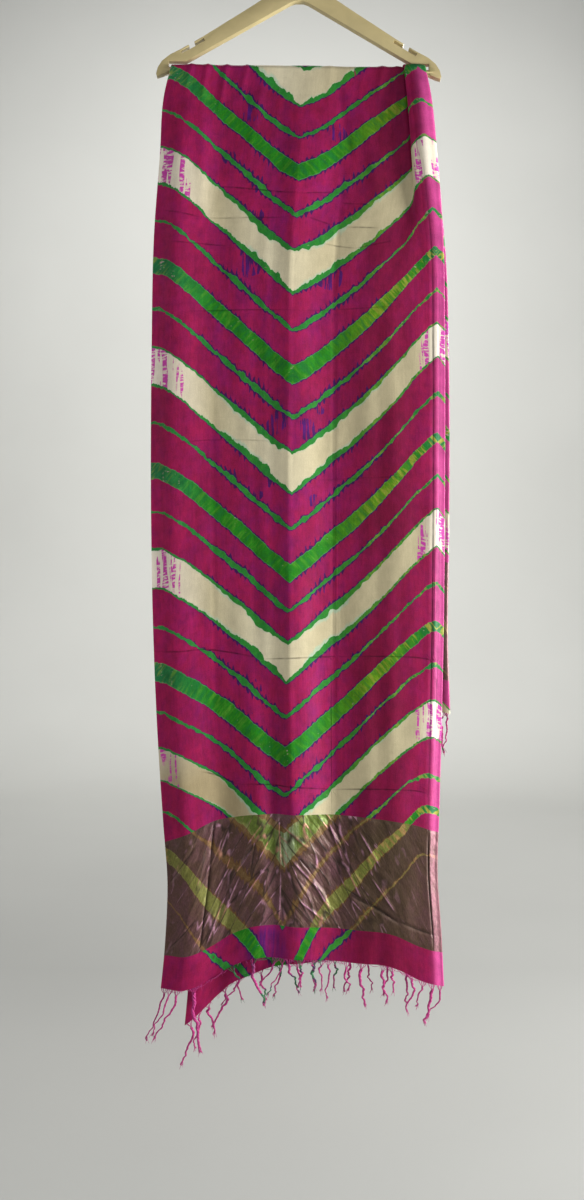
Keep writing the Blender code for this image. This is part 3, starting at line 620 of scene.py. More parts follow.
def dye_fields(place, along):
    """Side (-1 selvedge, 0 lower turn, 1 peak) and phase (whole at each cream band's foot)."""
    folded = np.where(place > PATTERN_PEAK, 2 * PATTERN_PEAK - place, place)
    centre = read_table(CENTRE_LINE, along)
    offset = folded - centre
    side = offset / np.where(offset < 0, centre, PATTERN_PEAK - centre)
    reach = along + climb(offset, along)
    for _ in range(CLIMB_ROUNDS):
        reach = along + climb(offset, reach)
    reach = np.minimum(reach, PATTERN_END)
    wide = read_table(WIDE_BAND_TAPER, side)
    cream = read_table(CREAM_BAND_TAPER, side)
    rows = band_table()
    marks = BAND_MARKS + (1.0,)
    phase = np.zeros_like(reach)
    for index, row in enumerate(rows[:-1]):
        foot, line, wide_head, wide_foot, second, head = row
        following = rows[index + 1][0]
        middle, half = (wide_head + wide_foot) / 2, (wide_foot - wide_head) / 2
        knots = [foot, line, middle - half * wide, middle + half * wide, second,
                 following - (following - head) * cream, following]
        for start, end, low, high in zip(knots, knots[1:], marks, marks[1:]):
            here = (reach >= start) & (reach < end)
            value = index + low + (high - low) * (reach - start) / (end - start)
            phase = np.where(here, value, phase)
    return side, phase


# ---------------------------------------- mesh helpers

def deselect():
    """Leaves nothing selected."""
    for thing in bpy.context.selected_objects:
        thing.select_set(False)


def choose(piece):
    """Selects one piece and makes it active."""
    deselect()
    piece.select_set(True)
    bpy.context.view_layer.objects.active = piece


def apply_modifiers(piece):
    """Applies all of a piece's modifiers."""
    choose(piece)
    for modifier in list(piece.modifiers):
        bpy.ops.object.modifier_apply(modifier=modifier.name)


def grid_piece(name, points, uv_maps):
    """Grid primitive moved onto `points`, an array of rows by columns by 3."""
    count_rows, count_columns = points.shape[:2]
    deselect()
    bpy.ops.mesh.primitive_grid_add(x_subdivisions=count_columns - 1, y_subdivisions=count_rows - 1,
                                    size=2, calc_uvs=True, location=(0, 0, 0))
    piece = bpy.context.object
    piece.name = piece.data.name = name
    mesh = piece.data
    start = np.empty(len(mesh.vertices) * 3, np.float32)
    mesh.vertices.foreach_get("co", start)
    start = start.reshape(-1, 3)
    columns_at = np.rint((start[:, 0] + 1) / 2 * (count_columns - 1)).astype(int)
    rows_at = np.rint((start[:, 1] + 1) / 2 * (count_rows - 1)).astype(int)
    mesh.vertices.foreach_set("co", points[rows_at, columns_at].astype(np.float32).ravel())
    corners = np.empty(len(mesh.loops), np.int32)
    mesh.loops.foreach_get("vertex_index", corners)
    mesh.uv_layers.remove(mesh.uv_layers[0])
    for label, values in uv_maps.items():
        layer = mesh.uv_layers.new(name=label)
        flat = values[rows_at, columns_at][corners].astype(np.float32)
        layer.uv.foreach_set("vector", flat.ravel())
    mesh.update()
    return piece


def steps(start, end, step):
    """Even steps from start to end, about `step` apart."""
    count = max(1, round((end - start) / step))
    return np.linspace(start, end, count + 1)


def sheet_columns(outer_step, inner_step, turn_steps):
    """Columns from the left selvedge round the fold to the inner selvedge."""
    before, after = PLEAT
    outer = np.concatenate((steps(0, before, outer_step)[:-1], steps(before, after, outer_step * 0.5)[:-1],
                            steps(after, OUTER_WIDTH, outer_step * 0.7)))
    turn = np.linspace(0, math.pi, turn_steps + 1)[1:-1]
    inner = steps(0, INNER_WIDTH, inner_step)
    return outer, turn, inner


def sheet_points(drape, drops, columns):
    """Points, places across the cloth and lengths along it, for rows of drops."""
    blocks, places = [], []
    starts = {"outer": 0.0, "turn": OUTER_WIDTH, "inner": OUTER_WIDTH + TURN_WIDTH}
    widths = {"outer": 1.0, "turn": TURN_WIDTH / math.pi, "inner": 1.0}
    for kind, values in zip(("outer", "turn", "inner"), columns):
        value, drop = np.meshgrid(values, drops)
        blocks.append(drape.points(kind, value, drop))
        places.append(starts[kind] + widths[kind] * value)
    points = np.concatenate(blocks, axis=1)
    place = np.concatenate(places, axis=1)
    along = -drape.sign * np.repeat(np.asarray(drops)[:, None], place.shape[1], axis=1)
    return points, place, along


def cloth_piece(name, points, place, along, cell, finish):
    """Sheet of cloth with its own thickness, and the maps that its dye and creases follow."""
    mirrored = np.where(place > OUTER_WIDTH, 2 * OUTER_WIDTH - place, place)
    front = crease_lines(FRONT.creases, mirrored, along, cell)
    back = crease_lines(BACK.creases, mirrored, -along, cell)
    maps = {
        "cloth": np.stack((place, along), axis=-1),
        "dye": np.stack(dye_fields(place, along), axis=-1),
        "crease": np.stack([np.where(along > 0, f, b) for f, b in zip(front, back)], axis=-1),
    }
    piece = grid_piece(name, points, maps)
    shell = piece.modifiers.new("cloth thickness", "SOLIDIFY")
    shell.thickness = bpy.context.scene.dupatta_cloth.wall
    shell.offset = 0.0
    apply_modifiers(piece)
    choose(piece)
    bpy.ops.object.shade_smooth_by_angle(angle=SMOOTH_CLOTH)
    piece.data.materials.append(finish)
    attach(piece, BODY)
    return piece


# ---------------------------------------- materials

def linear(code):
    """Linear red, green and blue of an sRGB hex colour."""
    parts = [int(code[i:i + 2], 16) / 255 for i in (1, 3, 5)]
    return tuple(p / 12.92 if p <= 0.04045 else ((p + 0.055) / 1.055) ** 2.4 for p in parts)


def set_inputs(node, inputs):
    """Sets or links each input. A node given as a value stands for its first output."""
    for key, value in inputs.items():
        if isinstance(value, bpy.types.Node):
            value = value.outputs[0]
        if isinstance(value, bpy.types.NodeSocket):
            node.id_data.links.new(value, node.inputs[key])
        else:
            node.inputs[key].default_value = value


def add_node(tree, kind, inputs=None, **settings):
    """Adds a node with its settings and its links."""
    made = tree.nodes.new(kind)
    for name, value in settings.items():
        setattr(made, name, value)
    set_inputs(made, inputs or {})
    return made


def set_ramp(node, stops, interpolation="LINEAR"):
    """Fills a colour ramp with (position, grey or colour) stops."""
    ramp = node.color_ramp
    ramp.interpolation = interpolation
    while len(ramp.elements) > 1:
        ramp.elements.remove(ramp.elements[-1])
    for index, (position, value) in enumerate(stops):
        element = ramp.elements[0] if index == 0 else ramp.elements.new(position)
        element.position = position
        rgb = (value, value, value) if isinstance(value, (int, float)) else tuple(value)[:3]
        element.color = (*rgb, 1.0)
    return node


def new_material(name):
    """Empty material with a surface shader, its node tree and that shader."""
    made = bpy.data.materials.new(name)
    made.use_nodes = True
    tree = made.node_tree
    tree.nodes.clear()
    shader = add_node(tree, "ShaderNodeBsdfPrincipled")
    add_node(tree, "ShaderNodeOutputMaterial", {"Surface": shader})
    return made, tree, shader


def side_ramp(tree, side_share, table, scale=1.0):
    """Ramp over the cloth's side, from the selvedge (-1) to the peak (1)."""
    ramp = add_node(tree, RAMP, {0: side_share})
    return set_ramp(ramp, [((at + 1) / 2, value * scale) for at, value in table], "EASE")


def near_spots(tree, cloth, spots):
    """1 at each spot of the cloth, fading to 0 at its reach."""
    total = 0.0
    for place, along, reach in spots:
        away = add_node(tree, VECTOR, {0: cloth, 1: (place, along, 0.0)}, operation="DISTANCE")
        near = add_node(tree, MAP, {0: away.outputs["Value"], 1: reach, 2: 0.4 * reach},
                        interpolation_type="SMOOTHSTEP")
        total = add_node(tree, MATH, {0: near, 1: total}, operation="MAXIMUM")
    return total


def dye_maps(tree):
    """What the dye follows: the cloth's own maps, the side of the zigzag, and uneven fields."""
    cloth = add_node(tree, UV_MAP, uv_map="cloth")
    place = add_node(tree, SPLIT, {0: cloth})
    zigzag = add_node(tree, SPLIT, {0: add_node(tree, UV_MAP, uv_map="dye")})
    side, phase = zigzag.outputs[0], zigzag.outputs[1]
    dye = SimpleNamespace(cloth=cloth, place=place.outputs[0], along=place.outputs[1], side=side,
                          phase=phase, share=add_node(tree, MAP, {0: side, 1: -1.0, 2: 1.0}))
    for seed, (name, (across, along, detail)) in enumerate(DYE_NOISES.items()):
        at = add_node(tree, VECTOR, {0: dye.cloth, 1: (across, along, 0), 2: (0, 0, 3.7 * seed)},
                      operation="MULTIPLY_ADD")
        noise = add_node(tree, NOISE, {"Vector": at, "Scale": 1.0, "Detail": detail, "Roughness": 0.6})
        setattr(dye, name, noise)
    dye.arms = side_ramp(tree, dye.share, TEETH)
    dye.ends = set_ramp(add_node(tree, RAMP, {0: dye.share}), ENDS)
    return dye


def band_edges(tree, dye, line_width):
    """Place in the band's period, and distances from the thin lines and into the ground."""
    # the bands' edges sway, are scalloped where the cloth was bound, and fray thread by thread
    swayed = add_node(tree, MATH, {0: dye.sway, 1: 0.020, 2: dye.phase}, operation="MULTIPLY_ADD")
    scalloped = add_node(tree, MATH, {0: dye.scallop, 1: 0.022, 2: swayed}, operation="MULTIPLY_ADD")
    frayed = add_node(tree, MATH, {0: dye.fine, 1: 0.008, 2: scalloped}, operation="MULTIPLY_ADD")
    centred = add_node(tree, MATH, {0: frayed, 1: 0.025}, operation="SUBTRACT")
    spot = add_node(tree, MATH, {0: centred}, operation="FRACT")
    foot, line_a, wide_head, wide_foot, line_b, head = BAND_MARKS

    # thin lines that swell and shrink
    swelling = add_node(tree, MAP, {0: dye.swell, 1: 0.32, 2: 0.68, 3: 0.40 * line_width,
                                   4: 1.60 * line_width})
    half = add_node(tree, MATH, {0: side_ramp(tree, dye.share, LINE_HALF, RAMP_TIMES), 1: swelling},
                    operation="MULTIPLY")
    to_a = add_node(tree, MATH, {0: spot, 1: line_a}, operation="SUBTRACT")
    to_b = add_node(tree, MATH, {0: spot, 1: line_b}, operation="SUBTRACT")
    from_a = add_node(tree, MATH, {0: to_a}, operation="ABSOLUTE")
    from_b = add_node(tree, MATH, {0: to_b}, operation="ABSOLUTE")
    from_line = add_node(tree, MATH, {0: from_a, 1: from_b}, operation="MINIMUM")
    past_line = add_node(tree, MATH, {0: half, 1: -1 / RAMP_TIMES, 2: from_line}, operation="MULTIPLY_ADD")

    # distance into the ground from the wide band and the cream band, as a share of a period,
    # negative inside them
    far, deep = 0.085, 0.045
    banded = set_ramp(add_node(tree, RAMP, {0: spot}), (
        (foot, deep), (foot + far, deep + far), (wide_head - far, deep + far), (wide_head, deep),
        (WIDE_MIDDLE, 0.0), (wide_foot, deep), (wide_foot + far, deep + far),
        (head - far, deep + far), (head, deep), (head + deep, 0.0), (1.0 - deep, 0.0), (1.0, deep)))
    past_band = add_node(tree, MATH, {0: banded, 1: deep}, operation="SUBTRACT")
    into = add_node(tree, MATH, {0: past_band, 1: past_line}, operation="MINIMUM")
    dye.spot, dye.from_line, dye.into = spot, from_line, into
    dye.green = add_node(tree, MAP, {0: into, 1: 0.0001, 2: 0.0022, 3: 1.0, 4: 0.0})


def bare_depth(tree, dye):
    """Distance into the bare cloth from the cream band's outlines, and where it shows."""
    outline_swell = add_node(tree, MAP, {0: dye.swell, 1: 0.68, 2: 0.32, 3: 0.60, 4: 1.25})
    outline = add_node(tree, MATH, {0: side_ramp(tree, dye.share, OUTLINE, RAMP_TIMES), 1: outline_swell},
                       operation="MULTIPLY")
    jagged = add_node(tree, MATH, {0: dye.fine, 1: 0.10, 2: outline}, operation="MULTIPLY_ADD")
    from_head = add_node(tree, MATH, {0: dye.spot, 1: BAND_MARKS[-1]}, operation="SUBTRACT")
    from_foot = add_node(tree, MATH, {0: 1.0, 1: dye.spot}, operation="SUBTRACT")
    inside = add_node(tree, MATH, {0: from_head, 1: from_foot}, operation="MINIMUM")
    dye.depth = add_node(tree, MATH, {0: jagged, 1: -1 / RAMP_TIMES, 2: inside}, operation="MULTIPLY_ADD")
    dye.bare = add_node(tree, MAP, {0: dye.depth, 1: -0.006, 2: -0.004})


def dark_teeth(tree, dye, colours):
    """Where dark dye has crept out beside the green, and its colour."""
    # dark teeth: saw-like everywhere on the arms, flames in patches, a few tall pillars
    count = add_node(tree, MATH, {0: dye.place, 1: TEETH_PER_METRE, 2: dye.scallop},
                     operation="MULTIPLY_ADD")
    saw = add_node(tree, MATH, {0: count, 1: 0.5}, operation="PINGPONG")
    sharp = add_node(tree, MATH, {0: saw, 1: 1.6}, operation="POWER")
    patchy = add_node(tree, MAP, {0: dye.patch, 1: 0.44, 2: 0.62, 3: 0.034, 4: 0.150})
    uneven = add_node(tree, MAP, {0: dye.scallop, 1: 0.35, 2: 0.65, 3: 0.15, 4: 1.0})
    tooth = add_node(tree, MATH, {0: sharp, 1: patchy}, operation="MULTIPLY")
    tooth_now = add_node(tree, MATH, {0: tooth, 1: uneven}, operation="MULTIPLY")
    pillar = add_node(tree, MAP, {0: dye.pillar, 1: 0.46, 2: 0.56, 4: 0.16})
    pillars = add_node(tree, MATH, {0: pillar, 1: near_spots(tree, dye.cloth, FLAMES)},
                       operation="MULTIPLY")
    standing = add_node(tree, MATH, {0: tooth_now, 1: pillars}, operation="MAXIMUM")
    on_arms = add_node(tree, MATH, {0: standing, 1: dye.arms}, operation="MULTIPLY")
    seam_width = add_node(tree, MATH, {0: side_ramp(tree, dye.share, SEAM), 1: on_arms}, operation="ADD")
    past_seam = add_node(tree, MATH, {0: dye.into, 1: seam_width}, operation="SUBTRACT")
    dark = add_node(tree, MAP, {0: past_seam, 1: -0.003, 2: 0.002, 3: 0.92, 4: 0.0})
    tip = add_node(tree, MAP, {0: dye.into, 1: 0.010, 2: 0.090})
    seam = add_node(tree, MIX, {0: tip, 6: colours["seam"], 7: colours["flame"]}, data_type="RGBA")
    return dark, seam.outputs[2]


def dyed_ground(tree, dye, colours):
    """Magenta ground: purple clouds by the lower turns, the pool by the hem, crimson patches."""
    middle = side_ramp(tree, dye.share, CLOUDED)
    cloudy = add_node(tree, MAP, {0: dye.cloud, 1: 0.44, 2: 0.72, 4: 0.50})
    clouding = add_node(tree, MATH, {0: cloudy, 1: middle}, operation="MULTIPLY")
    # dye pooled by the hem, under the last of the lower turns
    from_pool = add_node(tree, VECTOR, {0: dye.cloth, 1: HEM_POOL}, operation="DISTANCE")
    pool = add_node(tree, MAP, {0: from_pool.outputs["Value"], 1: 0.046, 2: 0.020, 4: 0.85},
                    interpolation_type="SMOOTHSTEP")
    pool_streaks = add_node(tree, MAP, {0: dye.streak, 1: 0.35, 2: 0.60, 3: 0.30, 4: 1.0})
    pooled = add_node(tree, MATH, {0: pool, 1: pool_streaks}, operation="MULTIPLY")
    mottle = add_node(tree, MAP, {0: dye.mottle, 1: 0.40, 2: 0.66, 4: 0.26})
    stronger = add_node(tree, MATH, {0: clouding, 1: mottle}, operation="ADD")
    clouded = add_node(tree, MIX, {0: stronger, 6: colours["ground"], 7: colours["cloud"]},
                       data_type="RGBA")
    ground = add_node(tree, MIX, {0: pooled, 6: clouded.outputs[2], 7: colours["pool"]}, data_type="RGBA")
    patches = add_node(tree, MAP, {0: dye.slow, 1: 0.35, 2: 0.70, 4: 0.40})
    flush = add_node(tree, MATH, {0: side_ramp(tree, dye.share, FLUSH), 1: patches}, operation="ADD",
                     use_clamp=True)
    flushed = add_node(tree, MIX, {0: flush, 6: ground.outputs[2], 7: colours["flush"]}, data_type="RGBA")
    return flushed.outputs[2]


def streaked_green(tree, dye, colours):
    """Green of the bands, streaked where the cloth was bound, with a paler rim."""
    # the green: blue green at the selvedge, yellow green towards the fold, streaked by the warp
    hue = set_ramp(add_node(tree, RAMP, {0: dye.share}), (
        (0.00, colours["green_selvedge"]), (0.22, colours["green"]), (0.62, colours["green"]),
        (0.80, colours["green_fold"]), (0.95, colours["green"]), (1.00, colours["green_selvedge"])))
    # the binding left streaks square to each arm, and bare thread near the fold
    arm = add_node(tree, MATH, {0: dye.side}, operation="ABSOLUTE")
    down_arm = add_node(tree, MATH, {0: arm, 1: -ARM_WIDTH, 2: dye.along}, operation="MULTIPLY_ADD")
    across_arm = add_node(tree, MATH, {0: arm, 1: ARM_WIDTH, 2: dye.along},
                          operation="MULTIPLY_ADD")
    turned = add_node(tree, "ShaderNodeCombineXYZ", {0: down_arm, 1: across_arm, 2: dye.side})
    square = add_node(tree, VECTOR, {0: turned, 1: (110, 22, 3)}, operation="MULTIPLY")
    cross = add_node(tree, NOISE, {"Vector": square, "Scale": 1.0, "Detail": 2.0, "Roughness": 0.6})
    deepened = add_node(tree, MAP, {0: cross, 1: 0.50, 2: 0.34, 4: 0.55})
    deep_green = add_node(tree, MIX, {0: deepened, 6: hue, 7: colours["green_deep"]}, data_type="RGBA")
    streaky = add_node(tree, MAP, {0: cross, 1: 0.52, 2: 0.74, 4: 0.50})
    streaked = add_node(tree, MIX, {0: streaky, 6: deep_green.outputs[2], 7: colours["green_light"]},
                        data_type="RGBA")
    bare_thread = add_node(tree, MAP, {0: cross, 1: 0.50, 2: 0.60})
    thread_here = add_node(tree, MATH, {0: side_ramp(tree, dye.share, WORN), 1: bare_thread},
                           operation="MULTIPLY")
    threaded = add_node(tree, MIX, {0: thread_here, 6: streaked.outputs[2], 7: colours["green_worn"]},
                        data_type="RGBA")
    rim = add_node(tree, MAP, {0: dye.into, 1: -0.0045, 2: -0.0005, 4: 0.25})
    rimmed = add_node(tree, MIX, {0: rim, 6: threaded.outputs[2], 7: colours["rim"]}, data_type="RGBA")
    return rimmed.outputs[2]


def bare_cloth(tree, dye, colours):
    """Cream of the bare band, stained by its outlines, with magenta flames at its ends."""
    bleeding = add_node(tree, MAP, {0: dye.patch, 1: 0.46, 2: 0.64, 3: 0.008, 4: 0.048})
    bleed_arms = add_node(tree, MATH, {0: bleeding, 1: dye.arms}, operation="MULTIPLY")
    bled = add_node(tree, MATH, {0: bleed_arms, 1: dye.streak}, operation="MULTIPLY")
    past_bleed = add_node(tree, MATH, {0: dye.depth, 1: bled}, operation="SUBTRACT")
    stain = add_node(tree, MAP, {0: past_bleed, 1: -0.016, 2: 0.004, 3: 0.52, 4: 0.0})
    warm = set_ramp(add_node(tree, RAMP, {0: dye.share}), (
        (0.0, colours["cream_edge"]), (0.22, colours["beige"]), (0.42, colours["cream"]),
        (0.60, colours["beige"]), (0.94, colours["beige"]), (1.0, colours["cream_edge"])))
    # darker towards the hem, on the selvedge side of the bare band
    by_hem = add_node(tree, MAP, {0: dye.along, 1: 0.92, 2: 1.06})
    by_selvedge = add_node(tree, MAP, {0: dye.share, 1: 0.46, 2: 0.30})
    hem_darkened = add_node(tree, MATH, {0: by_hem, 1: by_selvedge}, operation="MULTIPLY")
    darker_near_hem = add_node(tree, MIX, {0: hem_darkened, 6: warm, 7: colours["hem_darkened"]}, data_type="RGBA")
    stained = add_node(tree, MIX, {0: stain, 6: darker_near_hem.outputs[2], 7: colours["stain"]}, data_type="RGBA")

    # its ends took up magenta in flames, which the binding hatched
    past_peak = add_node(tree, MAP, {0: dye.place, 1: PATTERN_PEAK + 0.002, 2: PATTERN_PEAK + 0.006,
                                     3: 0.0, 4: 0.045})
    lifted_ends = add_node(tree, MATH, {0: dye.flame, 1: dye.ends}, operation="ADD")
    lifted = add_node(tree, MATH, {0: lifted_ends, 1: past_peak}, operation="ADD")
    flame = add_node(tree, MAP, {0: lifted, 1: 0.60, 2: 0.63})
    hatch = add_node(tree, MAP, {0: dye.hatch, 1: 0.38, 2: 0.50})
    hatched = add_node(tree, MATH, {0: flame, 1: hatch}, operation="MULTIPLY")
    at_ends = add_node(tree, MATH, {0: dye.ends, 1: 0.01}, operation="GREATER_THAN")
    pink = add_node(tree, MATH, {0: hatched, 1: at_ends}, operation="MULTIPLY")
    bare = add_node(tree, MIX, {0: pink, 6: stained.outputs[2], 7: colours["scratch"]}, data_type="RGBA")
    return bare.outputs[2]


def worn_green(tree, dye, colours):
    """The bands' green, with bare threads at the ends, and the thin lines' own tint."""
    speck = add_node(tree, MATH, {0: dye.hatch, 1: dye.flame, 2: dye.ends},
                     operation="MULTIPLY_ADD")
    specks = add_node(tree, MAP, {0: speck, 1: 0.42, 2: 0.50, 4: 0.6})
    wear_and_glints = add_node(tree, MIX, {0: specks, 6: streaked_green(tree, dye, colours),
                                7: colours["speck"]}, data_type="RGBA")
    to_middle = add_node(tree, MATH, {0: dye.spot, 1: WIDE_MIDDLE}, operation="SUBTRACT")
    from_middle = add_node(tree, MATH, {0: to_middle}, operation="ABSOLUTE")
    narrow = add_node(tree, MAP, {0: from_middle, 1: 0.055, 2: 0.070})
    darker = add_node(tree, MATH, {0: narrow, 1: side_ramp(tree, dye.share, LINE_TINT)},
                      operation="MULTIPLY")
    banded_green = add_node(tree, MIX, {0: darker, 6: wear_and_glints.outputs[2], 7: colours["line"]},
                            data_type="RGBA")
    return banded_green.outputs[2]


def leheriya(tree, colours, line_width=1.0):
    """Wrap-resist dye: zigzag bands whose edges the dye has crept along, with its colour."""
    dye = dye_maps(tree)
    band_edges(tree, dye, line_width)
    bare_depth(tree, dye)
    dark, seam = dark_teeth(tree, dye, colours)
    with_dark = add_node(tree, MIX, {0: dark, 6: dyed_ground(tree, dye, colours), 7: seam},
                         data_type="RGBA")
    with_green = add_node(tree, MIX, {0: dye.green, 6: with_dark.outputs[2],
                                      7: worn_green(tree, dye, colours)}, data_type="RGBA")
    with_bare = add_node(tree, MIX, {0: dye.bare, 6: with_green.outputs[2],
                                     7: bare_cloth(tree, dye, colours)}, data_type="RGBA")
    dye.colour = with_bare.outputs[2]
    return dye


BARE_GLOSS = (0.50, 0.58, 0.42, 1.0)     # gloss of threads without magenta
# Turns a metre across and along, detail, weight of each set of threads.
SILK_THREADS = (
    (700, 620, 2.0, 0.36),           # grain of the weave
    (330, 36, 3.0, 0.28),            # warp slubs
    (20, 420, 3.0, 0.12),            # weft slubs
    (74, 52, 4.0, 0.60),             # dye taken up unevenly
)


def crease_line(tree, uneven):
    """Thin line along each crease: above 0 on ridges, below 0 in troughs. The materials paint it as shade
    in the troughs and as a highlight on the ridges.
    """
    crease = add_node(tree, SPLIT, {0: add_node(tree, UV_MAP, uv_map="crease")})
    gap = add_node(tree, MATH, {0: crease.outputs[0]}, operation="ABSOLUTE")
    line = add_node(tree, MAP, {0: gap, 1: 0.0004, 2: 0.0017, 3: 1.0, 4: 0.0})
    shown = add_node(tree, MAP, {0: uneven, 1: 0.38, 2: 0.60, 3: 0.5, 4: 1.0})
    signed = add_node(tree, MATH, {0: line, 1: crease.outputs[1]}, operation="MULTIPLY")
    return add_node(tree, MATH, {0: signed, 1: shown}, operation="MULTIPLY")


def silk_material(colours):
    """Tie-dyed raw silk, handwoven: soft sheen, slubs along the warp and a few across, with a painted
    highlight along the fold and painted shade and highlight along the creases.
    """
    made, tree, shader = new_material("tie-dyed raw silk")
    dye = leheriya(tree, colours)
    # slubs of the handloom, drawn about 2 mm apart so that they show, and uneven dye
    tone = add_node(tree, MATH, {0: dye.streak, 1: 0.14, 2: 0.0}, operation="MULTIPLY_ADD")
    for across, along, detail, weight in SILK_THREADS:
        at = add_node(tree, VECTOR, {0: dye.cloth, 1: (across, along, 1)}, operation="MULTIPLY")
        threads = add_node(tree, NOISE, {"Vector": at, "Scale": 1.0, "Detail": detail, "Roughness": 0.65})
        tone = add_node(tree, MATH, {0: threads, 1: weight, 2: tone}, operation="MULTIPLY_ADD")
    deepest = add_node(tree, MAP, {0: dye.bare, 3: 0.62, 4: 0.84})
    palest = add_node(tree, MAP, {0: dye.bare, 3: 1.36, 4: 1.12})
    shade = add_node(tree, MAP, {0: tone, 1: 0.52, 2: 0.98, 3: deepest, 4: palest})
    # painted highlight: the magenta turns lighter and pinker towards the fold, which faces the light
    off_fold = add_node(tree, MATH, {0: dye.place, 1: FOLD_PLACE}, operation="SUBTRACT")
    from_fold = add_node(tree, MATH, {0: off_fold}, operation="ABSOLUTE")
    shine = add_node(tree, MAP, {0: from_fold, 1: 0.026, 2: 0.004}, interpolation_type="SMOOTHSTEP")
    bared = add_node(tree, MATH, {0: dye.green, 1: dye.bare}, operation="MAXIMUM")
    on_ground = add_node(tree, MATH, {0: 1.0, 1: bared}, operation="SUBTRACT")
    pressed_here = add_node(tree, MATH, {0: shine, 1: on_ground}, operation="MULTIPLY")
    fold_highlighted = add_node(tree, MIX, {0: pressed_here, 6: dye.colour, 7: colours["pressed"]},
                         data_type="RGBA")
    # painted shade darkens the silk along crease troughs, and a painted highlight lightens it along ridges
    crease = crease_line(tree, dye.swell)
    crease_shade_and_highlight = add_node(tree, MAP, {0: crease, 1: -1.0, 2: 1.0, 3: 0.25, 4: 1.75})
    lit = add_node(tree, MATH, {0: shade, 1: crease_shade_and_highlight}, operation="MULTIPLY")
    toned = add_node(tree, VECTOR, {0: fold_highlighted.outputs[2], 3: lit}, operation="SCALE")
    rough = add_node(tree, MAP, {0: tone, 1: 0.52, 2: 0.98, 3: 0.66, 4: 0.50})
    raised = add_node(tree, MATH, {0: crease, 1: 0.8, 2: tone}, operation="MULTIPLY_ADD")
    bump = add_node(tree, BUMP, {"Height": raised, "Strength": 0.5, "Distance": 0.0008})
    gloss = add_node(tree, MIX, {0: bared, 6: colours["gloss"], 7: BARE_GLOSS}, data_type="RGBA")
    set_inputs(shader, {
        "Base Color": toned, "Roughness": rough, "Normal": bump, "Specular Tint": gloss.outputs[2],
        "Specular IOR Level": 0.35, "Sheen Weight": 0.02, "Sheen Roughness": 0.40,
        "Sheen Tint": colours["gloss"]})
    return made


def crumpled_facets(tree, place, along):
    """Distances to the edges of large and small facets, which fan out from the middle crease."""
    to_side = add_node(tree, MATH, {0: place, 1: CRUMPLE_MIDDLE}, operation="SUBTRACT")
    away = add_node(tree, MATH, {0: to_side}, operation="ABSOLUTE")
    right = add_node(tree, MATH, {0: to_side, 1: 0.0}, operation="GREATER_THAN")
    fan = add_node(tree, "ShaderNodeCombineXYZ", {0: away, 1: along, 2: right})
    turned = add_node(tree, "ShaderNodeVectorRotate", {"Vector": fan, "Angle": math.radians(34)},
                      rotation_type="Z_AXIS")
    edges = []
    for across, down in FACETS:
        at = add_node(tree, VECTOR, {0: turned, 1: (across, down, 4.0)}, operation="MULTIPLY")
        bent = add_node(tree, NOISE, {"Vector": at, "Scale": 1.3, "Detail": 1.0})
        warped = add_node(tree, VECTOR, {0: bent.outputs["Color"], 1: (0.7, 0.7, 0.0), 2: at},
                          operation="MULTIPLY_ADD")
        edges.append(add_node(tree, "ShaderNodeTexVoronoi", {"Vector": warped, "Scale": 1.0},
                              feature="DISTANCE_TO_EDGE"))
    return edges


def pale_middle(tree, dye, colours):
    """The dyed colour, with a light painted highlight in patches on the bare cloth just right of the
    middle crease, on its lit side.
    """
    from_middle = add_node(tree, MATH, {0: dye.place, 1: CRUMPLE_MIDDLE + 0.012}, operation="SUBTRACT")
    near_middle = add_node(tree, MATH, {0: from_middle}, operation="ABSOLUTE")
    paling = add_node(tree, MAP, {0: near_middle, 1: 0.022, 2: 0.004})
    pale_patch = add_node(tree, MAP, {0: dye.streak, 1: 0.38, 2: 0.62})
    paled = add_node(tree, MATH, {0: paling, 1: pale_patch}, operation="MULTIPLY")
    pale = add_node(tree, MATH, {0: paled, 1: dye.bare}, operation="MULTIPLY")
    base = add_node(tree, MIX, {0: pale, 6: dye.colour, 7: colours["pale"]}, data_type="RGBA")
    return base.outputs[2]


